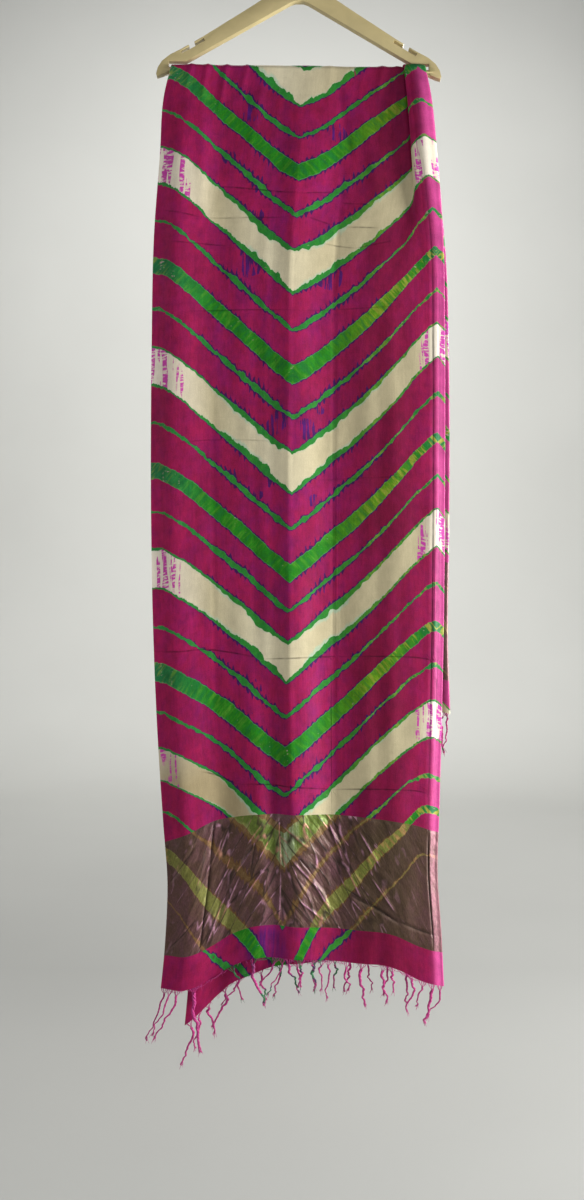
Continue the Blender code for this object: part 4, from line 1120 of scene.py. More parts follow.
def glinting_facets(tree, dye, colours, facets, lively):
    """Painted highlights on the facets' edges and the placed crests, and painted shade in the hollows
    between them.
    """
    large, small = facets
    large_edge = add_node(tree, MAP, {0: large, 1: 0.008, 2: 0.055, 3: 1.0, 4: 0.0})
    small_edge = add_node(tree, MAP, {0: small, 1: 0.006, 2: 0.060, 3: 0.30, 4: 0.0})
    some_large = add_node(tree, MAP, {0: dye.swell, 1: 0.48, 2: 0.64})
    some_small = add_node(tree, MAP, {0: dye.scallop, 1: 0.52, 2: 0.68})
    shown_large = add_node(tree, MATH, {0: large_edge, 1: some_large}, operation="MULTIPLY")
    shown_small = add_node(tree, MATH, {0: small_edge, 1: some_small}, operation="MULTIPLY")
    shown = add_node(tree, MATH, {0: shown_large, 1: shown_small}, operation="MAXIMUM")
    spread = add_node(tree, MATH, {0: shown, 1: lively}, operation="MULTIPLY")
    crease = crease_line(tree, dye.scallop)
    crest = add_node(tree, MATH, {0: spread, 1: crease}, operation="MAXIMUM")
    # painted highlight: lilac glints on crests, salmon where they cross the pattern's lines
    glint = add_node(tree, MAP, {0: crest, 1: 0.10, 2: 0.80, 4: 0.85})
    warm = add_node(tree, MAP, {0: dye.from_line, 1: 0.012, 2: 0.035, 3: 0.85, 4: 0.0})
    crossing = add_node(tree, MATH, {0: warm, 1: dye.green}, operation="MAXIMUM")
    crossed = add_node(tree, MATH, {0: crossing, 1: 0.75}, operation="MULTIPLY")
    bright = add_node(tree, MIX, {0: crossed, 6: colours["crest"], 7: colours["crossing"]},
                      data_type="RGBA")
    wear_and_glints = add_node(tree, MIX, {0: glint, 6: pale_middle(tree, dye, colours), 7: bright.outputs[2]},
                    data_type="RGBA")
    # painted shade: dark colour in the hollows between facets and along crease troughs
    not_large = add_node(tree, MATH, {0: 1.0, 1: some_large}, operation="SUBTRACT")
    hollow_edge = add_node(tree, MATH, {0: large_edge, 1: not_large}, operation="MULTIPLY")
    hollow = add_node(tree, MATH, {0: hollow_edge, 1: lively}, operation="MULTIPLY")
    trough_line = add_node(tree, MATH, {0: crease, 1: -1.0}, operation="MULTIPLY")
    trough = add_node(tree, MATH, {0: hollow, 1: trough_line}, operation="MAXIMUM")
    sunk = add_node(tree, MATH, {0: trough, 1: 0.85}, operation="MULTIPLY", use_clamp=True)
    creased = add_node(tree, MIX, {0: sunk, 6: wear_and_glints.outputs[2], 7: colours["trough"]}, data_type="RGBA")
    return creased.outputs[2]


def highlit_fold(tree, dye, colours, wear_and_glints):
    """The tissue's colour, with a painted highlight along the fold: a streaky light pink-lilac strip where
    the cloth turns to face the light.
    """
    fold_start = add_node(tree, MAP, {0: dye.place, 1: 0.4345, 2: 0.4365})
    fold_end = add_node(tree, MAP, {0: dye.place, 1: 0.452, 2: 0.460, 3: 1.0, 4: 0.0})
    fold = add_node(tree, MATH, {0: fold_start, 1: fold_end}, operation="MULTIPLY")
    fold_streaks_at = add_node(tree, VECTOR, {0: dye.cloth, 1: (620, 60, 1)}, operation="MULTIPLY")
    fold_streaks = add_node(tree, NOISE, {"Vector": fold_streaks_at, "Scale": 1.0, "Detail": 3.0, "Roughness": 0.7})
    highlit = add_node(tree, MAP, {0: fold_streaks, 1: 0.36, 2: 0.60, 3: 0.25, 4: 0.9})
    fold_highlight = add_node(tree, MATH, {0: fold, 1: highlit}, operation="MULTIPLY")
    coloured = add_node(tree, MIX, {0: fold_highlight, 6: wear_and_glints, 7: colours["fold"]},
                        data_type="RGBA")
    return coloured.outputs[2]


def tissue_material(colours):
    """Zari tissue: silk warp with a metal-wrapped weft, crumpled, with painted glints on its crests and
    painted shade in its hollows.
    """
    made, tree, shader = new_material("crumpled zari tissue")
    dye = leheriya(tree, colours, 0.6)
    large, small = crumpled_facets(tree, dye.place, dye.along)
    # the crumples are liveliest round the middle
    off_middle = add_node(tree, MATH, {0: dye.place, 1: CRUMPLE_MIDDLE}, operation="SUBTRACT")
    calm_left = add_node(tree, MAP, {0: off_middle, 1: -0.17, 2: -0.09, 3: 0.30, 4: 1.0})
    calm_right = add_node(tree, MAP, {0: off_middle, 1: 0.10, 2: 0.19, 3: 1.0, 4: 0.22})
    lively = add_node(tree, MATH, {0: calm_left, 1: calm_right}, operation="MINIMUM")
    wear_and_glints = glinting_facets(tree, dye, colours, (large, small), lively)
    coloured = highlit_fold(tree, dye, colours, wear_and_glints)
    grain_at = add_node(tree, VECTOR, {0: dye.cloth, 1: (520, 240, 1)}, operation="MULTIPLY")
    grain = add_node(tree, NOISE, {"Vector": grain_at, "Scale": 1.0, "Detail": 3.0, "Roughness": 0.65})
    shade = add_node(tree, MAP, {0: grain, 1: 0.32, 2: 0.68, 3: 0.74, 4: 1.26})
    toned = add_node(tree, VECTOR, {0: coloured, 3: shade}, operation="SCALE")

    # the facets catch the light each at its own slant
    slant_large = add_node(tree, MATH, {0: large, 1: -5.0}, operation="MULTIPLY")
    slant_both = add_node(tree, MATH, {0: small, 1: 1.6, 2: slant_large}, operation="MULTIPLY_ADD")
    slanted = add_node(tree, MATH, {0: slant_both, 1: lively}, operation="MULTIPLY")
    height = add_node(tree, MATH, {0: grain, 1: 0.35, 2: slanted}, operation="MULTIPLY_ADD")
    bump = add_node(tree, BUMP, {"Height": height, "Strength": 0.9, "Distance": 0.0010})
    set_inputs(shader, {
        "Base Color": toned, "Normal": bump, "Metallic": 0.30, "Roughness": 0.46,
        "Sheen Weight": 0.10, "Sheen Tint": colours["crest"]})
    return made


def yarn_material(colours):
    """Twisted silk yarn: the cloth's own warp, so it carries the dye on past the hem."""
    made, tree, shader = new_material("twisted silk yarn")
    dyed = leheriya(tree, colours).colour
    place = add_node(tree, "ShaderNodeTexCoord").outputs["Object"]
    fleck = add_node(tree, NOISE, {"Vector": place, "Scale": 700.0, "Detail": 2.0})
    shade = add_node(tree, MAP, {0: fleck, 1: 0.3, 2: 0.7, 3: 0.75, 4: 1.25})
    toned = add_node(tree, VECTOR, {0: dyed, 3: shade}, operation="SCALE")
    bump = add_node(tree, BUMP, {"Height": fleck, "Strength": 0.4, "Distance": 0.0003})
    set_inputs(shader, {"Base Color": toned, "Normal": bump, "Roughness": 0.7, "Sheen Weight": 0.08})
    return made


def plastic_material(colour):
    """Injection-moulded polypropylene, satin, with faint flow marks and a fine grain."""
    made, tree, shader = new_material("moulded polypropylene")
    place = add_node(tree, "ShaderNodeTexCoord").outputs["Object"]
    flow = add_node(tree, NOISE, {"Vector": place, "Scale": 35.0, "Detail": 4.0, "Distortion": 0.6})
    grain = add_node(tree, NOISE, {"Vector": place, "Scale": 1800.0, "Detail": 2.0})
    shade = add_node(tree, MAP, {0: flow, 1: 0.3, 2: 0.7, 3: 0.92, 4: 1.05})
    toned = add_node(tree, VECTOR, {0: colour, 3: shade}, operation="SCALE")
    rough = add_node(tree, MAP, {0: flow, 1: 0.3, 2: 0.7, 3: 0.36, 4: 0.48})
    bump = add_node(tree, BUMP, {"Height": grain, "Strength": 0.12, "Distance": 0.0002})
    set_inputs(shader, {"Base Color": toned, "Roughness": rough, "Normal": bump})
    return made


def floor_material(colour):
    """Matt painted board, darker on the floor, which more lights reach."""
    made, tree, shader = new_material("painted studio floor")
    place = add_node(tree, "ShaderNodeTexCoord").outputs["Object"]
    mottle = add_node(tree, NOISE, {"Vector": place, "Scale": 1.2, "Detail": 3.0})
    shade = add_node(tree, MAP, {0: mottle, 1: 0.3, 2: 0.7, 3: 0.97, 4: 1.02})
    depth = add_node(tree, SPLIT, {0: place})
    grade = add_node(tree, MAP, {0: depth.outputs[1], 1: 0.9, 2: 3.8, 3: 0.52, 4: 1.0})
    graded = add_node(tree, MATH, {0: shade, 1: grade}, operation="MULTIPLY")
    toned = add_node(tree, VECTOR, {0: colour, 3: graded}, operation="SCALE")
    set_inputs(shader, {"Base Color": toned, "Roughness": 0.85})
    return made


def studio_world(settings):
    """Weak, even light from all round, behind which the room itself looks pale."""
    world = bpy.data.worlds.new("studio")
    world.use_nodes = True
    tree = world.node_tree
    tree.nodes.clear()
    lighting = add_node(tree, "ShaderNodeBackground", {"Color": (0.93, 0.95, 1.0, 1.0),
                                                       "Strength": settings.ambient})
    room = add_node(tree, "ShaderNodeBackground", {"Color": (*settings.room, 1.0)})
    seen = add_node(tree, "ShaderNodeLightPath")
    both = add_node(tree, "ShaderNodeMixShader", {0: seen.outputs["Is Camera Ray"], 1: lighting, 2: room})
    add_node(tree, "ShaderNodeOutputWorld", {"Surface": both})
    return world


# ---------------------------------------- settings

def colour_property(name, code, description):
    """Colour setting whose default is an sRGB hex colour."""
    return FloatVectorProperty(name=name, description=description, subtype="COLOR", size=3,
                               min=0.0, max=1.0, default=linear(code))


def power_property(name, watts, description):
    """Setting for a light's power."""
    return FloatProperty(name=name, description=description, default=watts, min=0.0, unit="POWER")


class ClothSettings(bpy.types.PropertyGroup):
    """Sizes and colours of the silk."""
    wall: FloatProperty(name="Thickness", description="Thickness of the raw silk", default=0.0005,
                        min=0.0002, max=0.001, unit="LENGTH")
    field_cell: FloatProperty(name="Field cell", description="Mesh cell of the dyed field",
                              default=0.0047, min=0.003, max=0.02, unit="LENGTH")
    border_cell: FloatProperty(name="Border cell", description="Mesh cell of the crumpled border",
                               default=0.0018, min=0.0015, max=0.02, unit="LENGTH")
    ground: colour_property("Ground", "#981648", "Magenta ground")
    cloud: colour_property("Cloud", "#6E1462", "Purple clouds in the ground")
    pool: colour_property("Pool", "#3A1462", "Dye pooled by the front hem")
    seam: colour_property("Seam", "#24144E", "Dark dye beside the green")
    flame: colour_property("Flame", "#4E1870", "Tips of the dark teeth")
    green: colour_property("Green", "#1E7812", "Emerald of the bands")
    green_light: colour_property("Light green", "#5A982C", "Cross streaks of the bands")
    green_deep: colour_property("Deep green", "#0A6232", "Darker streaks of the bands")
    green_worn: colour_property("Worn green", "#A29A3C", "Bare threads across the bands by the fold")
    green_selvedge: colour_property("Selvedge green", "#226C42", "Bands beside the selvedge")
    green_fold: colour_property("Fold green", "#5E8E10", "Bands beside the fold")
    cream: colour_property("Cream", "#D4CAAC", "Bare band in the middle")
    cream_edge: colour_property("Cream edge", "#E2D8C8", "Bare band at its ends")
    beige: colour_property("Beige", "#BCB08E", "Bare band on its arms")
    # darker colour of the bare band towards the hem, on the selvedge side
    hem_darkened: colour_property("Darkened", "#A29270", "Bare band near the hem, by the selvedge")
    stain: colour_property("Stain", "#8CC0A8", "Blue green bled into the bare band")
    scratch: colour_property("Scratch", "#BE3E9C", "Pink streaks on the band's ends")
    flush: colour_property("Flush", "#6E0C2C", "Crimson patches of the ground")
    # painted highlight: lighter magenta put along the fold where it faces the light
    gloss: colour_property("Gloss", "#F0A0D4", "Gloss of the magenta threads")
    pressed: colour_property("Brightened", "#AC3E78", "Magenta of the pressed fold")
    line: colour_property("Line", "#287C34", "Thin lines and outlines")
    rim: colour_property("Rim", "#6FB878", "Paler edge of the green")
    speck: colour_property("Speck", "#C9A0A8", "Bare threads in the green's ends")


class TissueSettings(bpy.types.PropertyGroup):
    """Colours of the zari border."""
    ground: colour_property("Ground", "#52382C", "Brown of the metal weft over magenta")
    cloud: colour_property("Cloud", "#7A4A5E", "Mauve where the weft is thin")
    flush: colour_property("Flush", "#44361C", "Olive brown where it is thick")
    seam: colour_property("Seam", "#6A4A22", "Seams of the bands")
    line: colour_property("Line", "#74462E", "Thin lines and outlines")
    green: colour_property("Olive", "#6E6E30", "Metal weft over green")
    green_light: colour_property("Light olive", "#948E54", "Streaks of the olive bands")
    green_fold: colour_property("Fold olive", "#7C8434", "Olive beside the fold")
    cream: colour_property("Leaf", "#5C6E24", "Metal weft over the bare band")
    # painted highlight: light leaf colour on the lit side of the middle crease
    pale: colour_property("Pale leaf", "#A4B090", "Bare band rubbed along the middle crease")
    # painted highlight colours: glints on crests (also the sheen's tint), and glints where crests cross
    # the pattern's lines
    crest: colour_property("Crest", "#B8869C", "Lilac glint on crests")
    crossing: colour_property("Crossing", "#B47A50", "Salmon glint on the pattern's lines")
    # painted shade put in the troughs and hollows of the crumples
    trough: colour_property("Trough", "#2A1C12", "Dark crease beside the fold")
    # painted highlight: light pink-lilac strip along the fold, which faces the light
    fold: colour_property("Fold", "#94606C", "Worn strip along the fold")


class YarnSettings(bpy.types.PropertyGroup):
    """Sizes and colours of the fringe."""
    radius: FloatProperty(name="Radius", description="Radius of a tassel's yarn", default=0.0021,
                          min=0.0005, max=0.004, unit="LENGTH")
    twist: FloatProperty(name="Twist", description="Length of yarn in one turn of the plies",
                         default=0.0115, min=0.002, max=0.05, unit="LENGTH")
    ground: colour_property("Ground", "#A81C70", "Magenta yarn")
    cloud: colour_property("Cloud", "#8A1C60", "Darker yarn")
    seam: colour_property("Seam", "#2A1440", "Yarn from the dark seams")
    green: colour_property("Green", "#1C5A34", "Yarn from the green bands")
    green_light: colour_property("Light green", "#2A7040", "Lighter green yarn")


class StudioSettings(bpy.types.PropertyGroup):
    """Lights, floor and the colour of the hanger."""
    key: power_property("Key light", 168.0, "Raking light from the right")
    fill: power_property("Fill light", 25.0, "Raking light from the left")
    rear: power_property("Rear light", 8.0, "Light on the back drape")
    front: power_property("Front light", 20.0, "Weak light from the camera's side")
    backdrop: power_property("Backdrop light", 88.0, "Light on the backdrop")
    ambient: FloatProperty(name="Ambient", description="Strength of the light from all round",
                           default=0.14, min=0.0)
    floor_height: FloatProperty(name="Floor height", description="Floor below the hook's bearing point",
                                default=-1.90, unit="LENGTH")
    plastic: colour_property("Plastic", "#B8A878", "Hanger")
    floor: colour_property("Floor", "#DADAD4", "Floor and backdrop")
    room: colour_property("Room", "#D2D2CD", "Room beyond the backdrop")


def palette(group):
    """A settings group's colours, with alpha, by name."""
    names = [item.identifier for item in group.bl_rna.properties if item.subtype == "COLOR"]
    return {name: (*getattr(group, name), 1.0) for name in names}


def silk():
    """The field's material, made once."""
    made = bpy.data.materials.get("tie-dyed raw silk")
    return made or silk_material(palette(bpy.context.scene.dupatta_cloth))


def tissue():
    """The border's material, made once, with the dye's colours as seen through metal."""
    made = bpy.data.materials.get("crumpled zari tissue")
    if made:
        return made
    colours = palette(bpy.context.scene.dupatta_tissue)
    colours["green_selvedge"] = colours["green_deep"] = colours["green"]
    colours["green_worn"] = colours["crossing"]
    colours["flame"] = colours["seam"]
    colours["pool"] = colours["cloud"]
    colours["rim"] = colours["speck"] = colours["green_light"]
    colours["cream_edge"] = colours["beige"] = colours["hem_darkened"] = colours["cream"]
    colours["stain"] = colours["green_light"]
    colours["scratch"] = colours["cream"]
    return tissue_material(colours)


def yarn():
    """The fringe's material, made once."""
    made = bpy.data.materials.get("twisted silk yarn")
    if made:
        return made
    colours = palette(bpy.context.scene.dupatta_yarn)
    for name in ("green_selvedge", "green_deep", "green_worn", "green_fold"):
        colours[name] = colours["green"]
    colours["flame"] = colours["pool"] = colours["seam"]
    for name in ("cream", "cream_edge", "beige", "hem_darkened", "stain", "scratch", "flush"):
        colours[name] = colours["ground"]
    colours["line"] = colours["rim"] = colours["speck"] = colours["green_light"]
    return yarn_material(colours)


# ---------------------------------------- hanger

def moulding(colour):
    """The hanger's solid, with its edges rounded as they leave the mould."""
    choose(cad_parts["hanger"])
    bpy.ops.object.duplicate()
    piece = bpy.context.object
    piece.parent = None
    piece.name = piece.data.name = "hanger_moulding"
    bpy.ops.object.mode_set(mode="EDIT")
    bpy.ops.mesh.select_all(action="SELECT")
    bpy.ops.mesh.remove_doubles(threshold=0.00005)
    bpy.ops.mesh.tris_convert_to_quads(face_threshold=math.radians(1), shape_threshold=math.radians(180))
    bpy.ops.object.mode_set(mode="OBJECT")
    rounding = piece.modifiers.new("rounded edges", "BEVEL")
    rounding.width = MOULD_EDGE
    rounding.segments = 2
    rounding.limit_method = "ANGLE"
    rounding.angle_limit = SMOOTH_PLASTIC
    apply_modifiers(piece)
    bpy.ops.object.shade_smooth_by_angle(angle=SMOOTH_PLASTIC)
    piece.data.materials.clear()
    piece.data.materials.append(plastic_material(tuple(colour)))
    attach(piece, BODY)
    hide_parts("hanger")


# ---------------------------------------- pieces of cloth

def over_bar():
    """Cloth that turns over the bar, as one sheet from behind to the front."""
    cell = bpy.context.scene.dupatta_cloth.field_cell
    columns = sheet_columns(cell * 0.8, cell * 1.6, TURN_STEPS)
    drops = steps(0.0, HEAD, BAR_CELL)
    back = sheet_points(BACK, drops[:0:-1], columns)
    front = sheet_points(FRONT, drops, columns)
    points, place, along = (np.concatenate(pair) for pair in zip(back, front))
    piece = cloth_piece("cloth_over_bar_silk", points, place, along, cell, silk())
    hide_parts("cloth_over_bar")


def stretch(side, label, drape, drops, columns, cell, finish, slot):
    """One stretch of a drape, in place of its solid."""
    piece = cloth_piece(f"{side}_{label}_{slot}", *sheet_points(drape, drops, columns), cell, finish)
    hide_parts(f"{side}_{label}")
    return piece


def drape_cloth(side, drape):
    """Field, border and end strip of one side."""
    settings = bpy.context.scene.dupatta_cloth
    share = 1.0 if drape is FRONT else BACK_COARSER
    cell, fine = settings.field_cell * share, settings.border_cell * share
    field_columns = sheet_columns(cell * 0.80, cell * 1.7, TURN_STEPS)
    border_columns = sheet_columns(fine, fine * 2.8, TURN_STEPS)
    field = stretch(side, "field", drape, steps(HEAD, drape.border, cell), field_columns, cell,
                    silk(), "silk")
    border = stretch(side, "border", drape, steps(drape.border, drape.hem, fine), border_columns, fine,
                     tissue(), "zari")
    end = stretch(side, "end", drape, steps(drape.hem, drape.length + FRINGE_STRIP, fine * 1.3),
                  border_columns, fine, silk(), "silk")


# ---------------------------------------- fringe

class YarnMaker:
    """Copies one stretched ball into yarns, each along its own run."""

    def __init__(self, sides, rings):
        deselect()
        bpy.ops.mesh.primitive_uv_sphere_add(segments=sides, ring_count=rings, radius=1.0,
                                             location=(0, 0, 0))
        self.pattern = bpy.context.object
        mesh = self.pattern.data
        bpy.ops.object.shade_smooth()
        spots = np.empty(len(mesh.vertices) * 3)
        mesh.vertices.foreach_get("co", spots)
        spots = spots.reshape(-1, 3)
        self.rings = rings
        self.ring = np.rint(np.arccos(np.clip(spots[:, 2], -1, 1)) / math.pi * rings).astype(int)
        self.turn = np.arctan2(spots[:, 1], spots[:, 0])
        self.corners = np.empty(len(mesh.loops), np.int32)
        mesh.loops.foreach_get("vertex_index", self.corners)
        mesh.uv_layers.remove(mesh.uv_layers[0])
        self.made = []

    def add(self, run, radius, place, along):
        """Yarn through `run`, a function of 0..1 arrays, coloured as the cloth's own dye."""
        share = np.linspace(0, 1, self.rings + 1)
        centre = run(share)
        ahead = np.gradient(centre, axis=0)
        ahead /= np.linalg.norm(ahead, axis=1)[:, None]
        aside = np.cross(ahead, (0.0, 1.0, 0.0))
        aside /= np.linalg.norm(aside, axis=1)[:, None]
        other = np.cross(ahead, aside)
        wide = np.full_like(share, 1.0) * radius(share)
        wide[0] = wide[-1] = 0.0
        ring, turn = self.ring, self.turn
        spots = (centre[ring] + (wide[ring] * np.cos(turn))[:, None] * aside[ring]
                 + (wide[ring] * np.sin(turn))[:, None] * other[ring])
        mesh = self.pattern.data.copy()
        mesh.vertices.foreach_set("co", spots.astype(np.float32).ravel())
        fall = np.abs(centre[0, 2] - centre[:, 2])
        reach = (along + np.sign(along) * fall)[ring]
        layer = mesh.uv_layers.new(name="cloth")
        values = np.stack((np.full_like(reach, place), reach), axis=-1)[self.corners]
        layer.uv.foreach_set("vector", values.astype(np.float32).ravel())
        strand = bpy.data.objects.new("strand", mesh)
        bpy.context.scene.collection.objects.link(strand)
        self.made.append(strand)


def join_makers(name, makers, finish):
    """Joins all the makers' strands into one piece and maps the dye onto it."""
    deselect()
    for maker in makers:
        for strand in maker.made:
            strand.select_set(True)
        bpy.data.objects.remove(maker.pattern)
    piece = makers[0].made[0]
    bpy.context.view_layer.objects.active = piece
    bpy.ops.object.join()
    piece.name = piece.data.name = name
    piece.data.materials.clear()
    piece.data.materials.append(finish)
    mesh = piece.data
    cloth = np.empty(len(mesh.loops) * 2, np.float32)
    mesh.uv_layers["cloth"].uv.foreach_get("vector", cloth)
    dye = np.stack(dye_fields(*cloth.reshape(-1, 2).T.astype(float)), axis=-1)
    layer = mesh.uv_layers.new(name="dye")
    layer.uv.foreach_set("vector", dye.astype(np.float32).ravel())
    return piece


def plain_tassels(first, last):
    """Evenly spaced tassels of a back hem, no two alike."""
    count = round((last - first) / STRAND_STEP) + 1
    rows = []
    for i in range(count):
        place = first + (last - first) * i / (count - 1) + 0.004 * math.sin(5.1 * i)
        length = FRINGE_LENGTH * (0.80 + 0.30 * abs(math.sin(1.7 * i + 0.6)))
        rows.append((place, length, 0.007 * math.sin(2.4 * i), 0.003 * math.cos(3.1 * i),
                     0.8 + 0.4 * abs(math.sin(2.9 * i))))
    return rows


def tassel_run(foot, length, sway, wave, lean, index):
    """Centre line of a tassel, kinked as unwashed twisted yarn is."""
    def run(share):
        t = np.asarray(share, float)
        kink = smooth_step(4 * t)
        x = sway * t + wave * np.sin(math.pi * 1.6 * t)
        bend = 2 * math.pi * (1.9 * t + 0.37 * index) + 1.1 * np.sin(7 * t + index)
        x = x + kink * (0.0017 * np.sin(bend) + 0.0007 * np.sin(2.6 * bend + index))
        y = lean * smooth_step(2 * t) + 0.0011 * kink * np.sin(0.8 * bend + 0.61 * index)
        return foot + np.stack((x, y, -length * t), axis=-1)
    return run


def ply_run(run, start, length, twist, reach, phase):
    """One ply wound round a tassel's centre line from `start` down."""
    def wound(share):
        t = start + (1 - start) * share
        angle = 2 * math.pi * length * t / twist + phase
        centre = run(t)
        open_end = reach * (1 - 0.45 * t) * (1 + 1.2 * smooth_step(6 * (t - 0.84)))
        return centre + np.stack((open_end * np.cos(angle), open_end * np.sin(angle),
                                  np.zeros_like(t)), axis=-1)
    return wound


def straight_run(start, end, bow):
    """Thread from start to end, bowed by a vector at its middle."""
    start, end, bow = np.asarray(start), np.asarray(end), np.asarray(bow)

    def run(share):
        t = np.asarray(share, float)[:, None]
        return start + (end - start) * t + bow * np.sin(math.pi * t)
    return run


class Hem:
    """One hem, its own random draws, and the makers of the yarns that hang from it."""

    def __init__(self, kind, drape):
        self.kind = kind
        self.drape = drape
        self.width = OUTER_WIDTH if kind == "outer" else INNER_WIDTH
        self.start = 0.0 if kind == "outer" else OUTER_WIDTH + TURN_WIDTH
        self.away = drape.sign * (1 if kind == "outer" else -1)
        self.along = -drape.sign * (drape.length + FRINGE_STRIP)
        self.draw = np.random.RandomState(11 if drape is FRONT else 12)
        self.plies = YarnMaker(6, 54 if drape is FRONT else 34)
        self.threads = YarnMaker(4, 8)

    def spot(self, value):
        """Spot on the hem's last thread."""
        drop = np.array([self.drape.length + FRINGE_STRIP - HEM_THREAD])
        return self.drape.points(self.kind, np.array([value]), drop)[0]

    def thread(self, run, radius, value):
        """Fine thread along `run`, dyed as the hem is at `value`."""
        self.threads.add(run, radius, self.start + value, self.along)

    def tassel(self, index, value, length, sway, wave, thick):
        """Plies of one tassel, the warp threads that feed it and its loose tips."""
        settings = bpy.context.scene.dupatta_yarn
        lean = self.away * (STRAND_LEAN + STRAND_STAGGER * (index % 2))
        run = tassel_run(self.spot(value), length, sway, wave, lean, index)
        radius = settings.radius * thick
        start = min(0.30, JOINT_DROP / length)
        twist = settings.twist * (0.85 + 0.6 * abs(math.sin(1.3 * index)))
        for wound_at, reach, share in PLIES:
            wound = ply_run(run, start * 0.8, length, twist, radius * reach, wound_at + index)
            self.plies.add(wound, lambda t, r=radius * share: r * (1 - 0.5 * t),
                           self.start + value, self.along)
        joint = run(np.array([start]))[0]
        for leg in FEEDS:
            spread = leg * (0.0035 + 0.0030 * abs(math.sin(2.1 * index + leg)))
            root = self.spot(min(max(value + spread, 0.001), self.width - 0.001))
            bow = (0.0008 * leg, 0.0005 * self.away, 0.0)
            self.thread(straight_run(root, joint, bow), lambda t: FEED_RADIUS * (1.1 - 0.5 * t),
                        value + spread)
        tip, near = run(np.array([1.0]))[0], run(np.array([0.90]))[0]
        draw = self.draw
        for _ in range(LOOSE_TIPS):
            end = tip + np.array((draw.uniform(-0.004, 0.004), draw.uniform(-0.002, 0.002),
                                  -draw.uniform(0.001, 0.007)))
            self.thread(straight_run(near, end, (draw.uniform(-0.001, 0.001), 0.0, 0.0)),
                        lambda t: TIP_RADIUS * (1.0 - 0.6 * t), value)

    def warp_ends(self, count):
        """Warp ends that were not gathered into a tassel."""
        draw = self.draw
        for _ in range(count):
            value = draw.uniform(0.004, self.width - 0.004)
            root = self.spot(value)
            end = root + np.array((draw.uniform(-0.005, 0.005), self.away * draw.uniform(0, 0.002),
                                   -draw.uniform(0.002, 0.008)))
            self.thread(straight_run(root, end, (draw.uniform(-0.002, 0.002), 0.0, 0.0)),
                        lambda t: WARP_RADIUS * (1.0 - 0.5 * t), value)

    def slipped_weft(self, count):
        """Weft that has slipped out of the hem and sags below it."""
        draw = self.draw
        for _ in range(count):
            value = draw.uniform(0.010, self.width - 0.040)
            reach = draw.uniform(0.010, 0.026)
            root, end = self.spot(value), self.spot(value + reach)
            sag = (0.0, self.away * 0.0008, -draw.uniform(0.001, 0.0045))
            self.thread(straight_run(root, end, sag), lambda _: WEFT_RADIUS, value)


def fringe(side, kind, drape):
    """Tassels of one hem, and the loose ends between them."""
    hem = Hem(kind, drape)
    first, last = STRAND_MARGIN, hem.width - STRAND_MARGIN
    tassels = plain_tassels(first, last)
    if drape is FRONT:
        tassels = FRONT_OUTER_TASSELS if kind == "outer" else FRONT_INNER_TASSELS
    for index, (value, *shape) in enumerate(tassels):
        hem.tassel(index, min(max(value, first), last), *shape)
    warps, wefts = FRONT_LOOSE if drape is FRONT else BACK_LOOSE
    hem.warp_ends(warps)
    hem.slipped_weft(wefts)
    piece = join_makers(f"{side}_fringe_{kind}_yarn", (hem.plies, hem.threads), yarn())
    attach(piece, BODY)
    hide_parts(f"{side}_fringe_{kind}")


# ---------------------------------------- studio pieces

def studio_floor(settings):
    """Floor that curves up into the backdrop."""
    deselect()
    bpy.ops.mesh.primitive_grid_add(x_subdivisions=2, y_subdivisions=80, size=2,
                                    location=(0, 0, 0))
    floor = bpy.context.object
    floor.name = "studio_floor"
    flat, radius, wall = FLOOR_LENGTH, COVE_RADIUS, WALL_HEIGHT
    cove = radius * math.pi / 2
    for vertex in floor.data.vertices:
        run = (vertex.co.y + 1) / 2 * (flat + cove + wall)
        angle = min(max((run - flat) / radius, 0.0), math.pi / 2)
        past = max(run - flat - cove, 0.0)
        y = FLOOR_END - flat + min(run, flat) + radius * math.sin(angle)
        z = settings.floor_height + radius * (1 - math.cos(angle)) + past
        vertex.co = (vertex.co.x * FLOOR_HALF_WIDTH, y, z)
    choose(floor)
    bpy.ops.object.shade_smooth()
    floor.data.materials.append(floor_material(tuple(settings.floor)))


def studio_lights(settings):
    """Area lights, each aimed at its target."""
    for name, place, target, size, spread in LIGHTS:
        light = bpy.data.lights.new(name, "AREA")
        light.size = size
        light.spread = math.radians(spread)
        light.energy = getattr(settings, name)
        lamp = bpy.data.objects.new(name, light)
        bpy.context.scene.collection.objects.link(lamp)
        lamp.location = place
        aim = Vector(target) - lamp.location
        lamp.rotation_euler = aim.to_track_quat("-Z", "Y").to_euler()


def studio_camera():
    """Level camera in front of the cloth."""
    camera = bpy.data.cameras.new("camera")
    camera.lens = CAMERA_LENS
    camera.sensor_width = 36.0
    seat = bpy.data.objects.new("camera", camera)
    bpy.context.scene.collection.objects.link(seat)
    seat.location = CAMERA_PLACE
    seat.rotation_euler = (math.pi / 2, 0.0, 0.0)
    bpy.context.scene.camera = seat


# ---------------------------------------- operators

class DUPATTA_OT_over_bar(bpy.types.Operator):
    """Cloth that turns over the hanger's bar"""
    bl_idname = "dupatta.over_bar"
    bl_label = "Cloth over the bar"

    def execute(self, context):
        over_bar()
        return {"FINISHED"}


class DUPATTA_OT_front(bpy.types.Operator):
    """Long front drape: field, border and end strip"""
    bl_idname = "dupatta.front"
    bl_label = "Front drape"

    def execute(self, context):
        drape_cloth("front", FRONT)
        return {"FINISHED"}


class DUPATTA_OT_back(bpy.types.Operator):
    """Short back drape: field, border and end strip"""
    bl_idname = "dupatta.back"
    bl_label = "Back drape"

    def execute(self, context):
        drape_cloth("back", BACK)
        return {"FINISHED"}


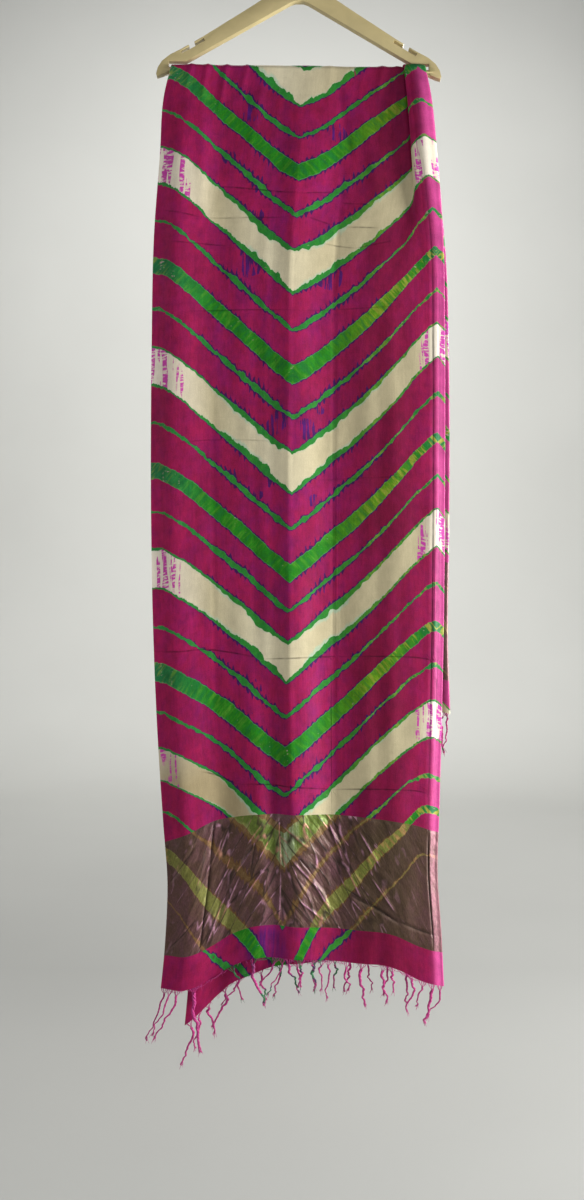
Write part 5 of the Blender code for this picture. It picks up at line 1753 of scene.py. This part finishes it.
class DUPATTA_OT_fringe(bpy.types.Operator):
    """Tassels of the four hems"""
    bl_idname = "dupatta.fringe"
    bl_label = "Fringe"

    def execute(self, context):
        for side, drape in (("front", FRONT), ("back", BACK)):
            for kind in ("outer", "inner"):
                fringe(side, kind, drape)
        return {"FINISHED"}


class DUPATTA_OT_hanger(bpy.types.Operator):
    """Plastic hanger"""
    bl_idname = "dupatta.hanger"
    bl_label = "Hanger"

    def execute(self, context):
        moulding(context.scene.dupatta_studio.plastic)
        return {"FINISHED"}


class DUPATTA_OT_studio(bpy.types.Operator):
    """Floor, lights and camera"""
    bl_idname = "dupatta.studio"
    bl_label = "Studio"

    def execute(self, context):
        settings = context.scene.dupatta_studio
        studio_floor(settings)
        studio_lights(settings)
        context.scene.world = studio_world(settings)
        context.scene.view_settings.view_transform = "Standard"
        studio_camera()
        return {"FINISHED"}


class DUPATTA_PT_panel(bpy.types.Panel):
    """Buttons that build the dupatta, piece by piece"""
    bl_idname = "DUPATTA_PT_panel"
    bl_label = "Dupatta on a hanger"
    bl_space_type = "VIEW_3D"
    bl_region_type = "UI"
    bl_category = "Dupatta"

    def draw(self, context):
        for name in STEPS:
            self.layout.operator(f"dupatta.{name}")


STEPS = ("studio", "hanger", "over_bar", "front", "back", "fringe")
CLASSES = (ClothSettings, TissueSettings, YarnSettings, StudioSettings,
           DUPATTA_OT_studio, DUPATTA_OT_hanger, DUPATTA_OT_over_bar, DUPATTA_OT_front,
           DUPATTA_OT_back, DUPATTA_OT_fringe, DUPATTA_PT_panel)
SETTINGS = {"dupatta_cloth": ClothSettings, "dupatta_tissue": TissueSettings,
            "dupatta_yarn": YarnSettings, "dupatta_studio": StudioSettings}


def register():
    """Registers the settings, operators and panel."""
    for item in CLASSES:
        bpy.utils.register_class(item)
    for name, group in SETTINGS.items():
        setattr(bpy.types.Scene, name, PointerProperty(type=group))


def unregister():
    """Removes what register added."""
    for name in SETTINGS:
        delattr(bpy.types.Scene, name)
    for item in reversed(CLASSES):
        bpy.utils.unregister_class(item)


def main():
    """Builds everything."""
    register()
    for name in STEPS:
        getattr(bpy.ops.dupatta, name)()


if __name__ == "__main__":
    main()
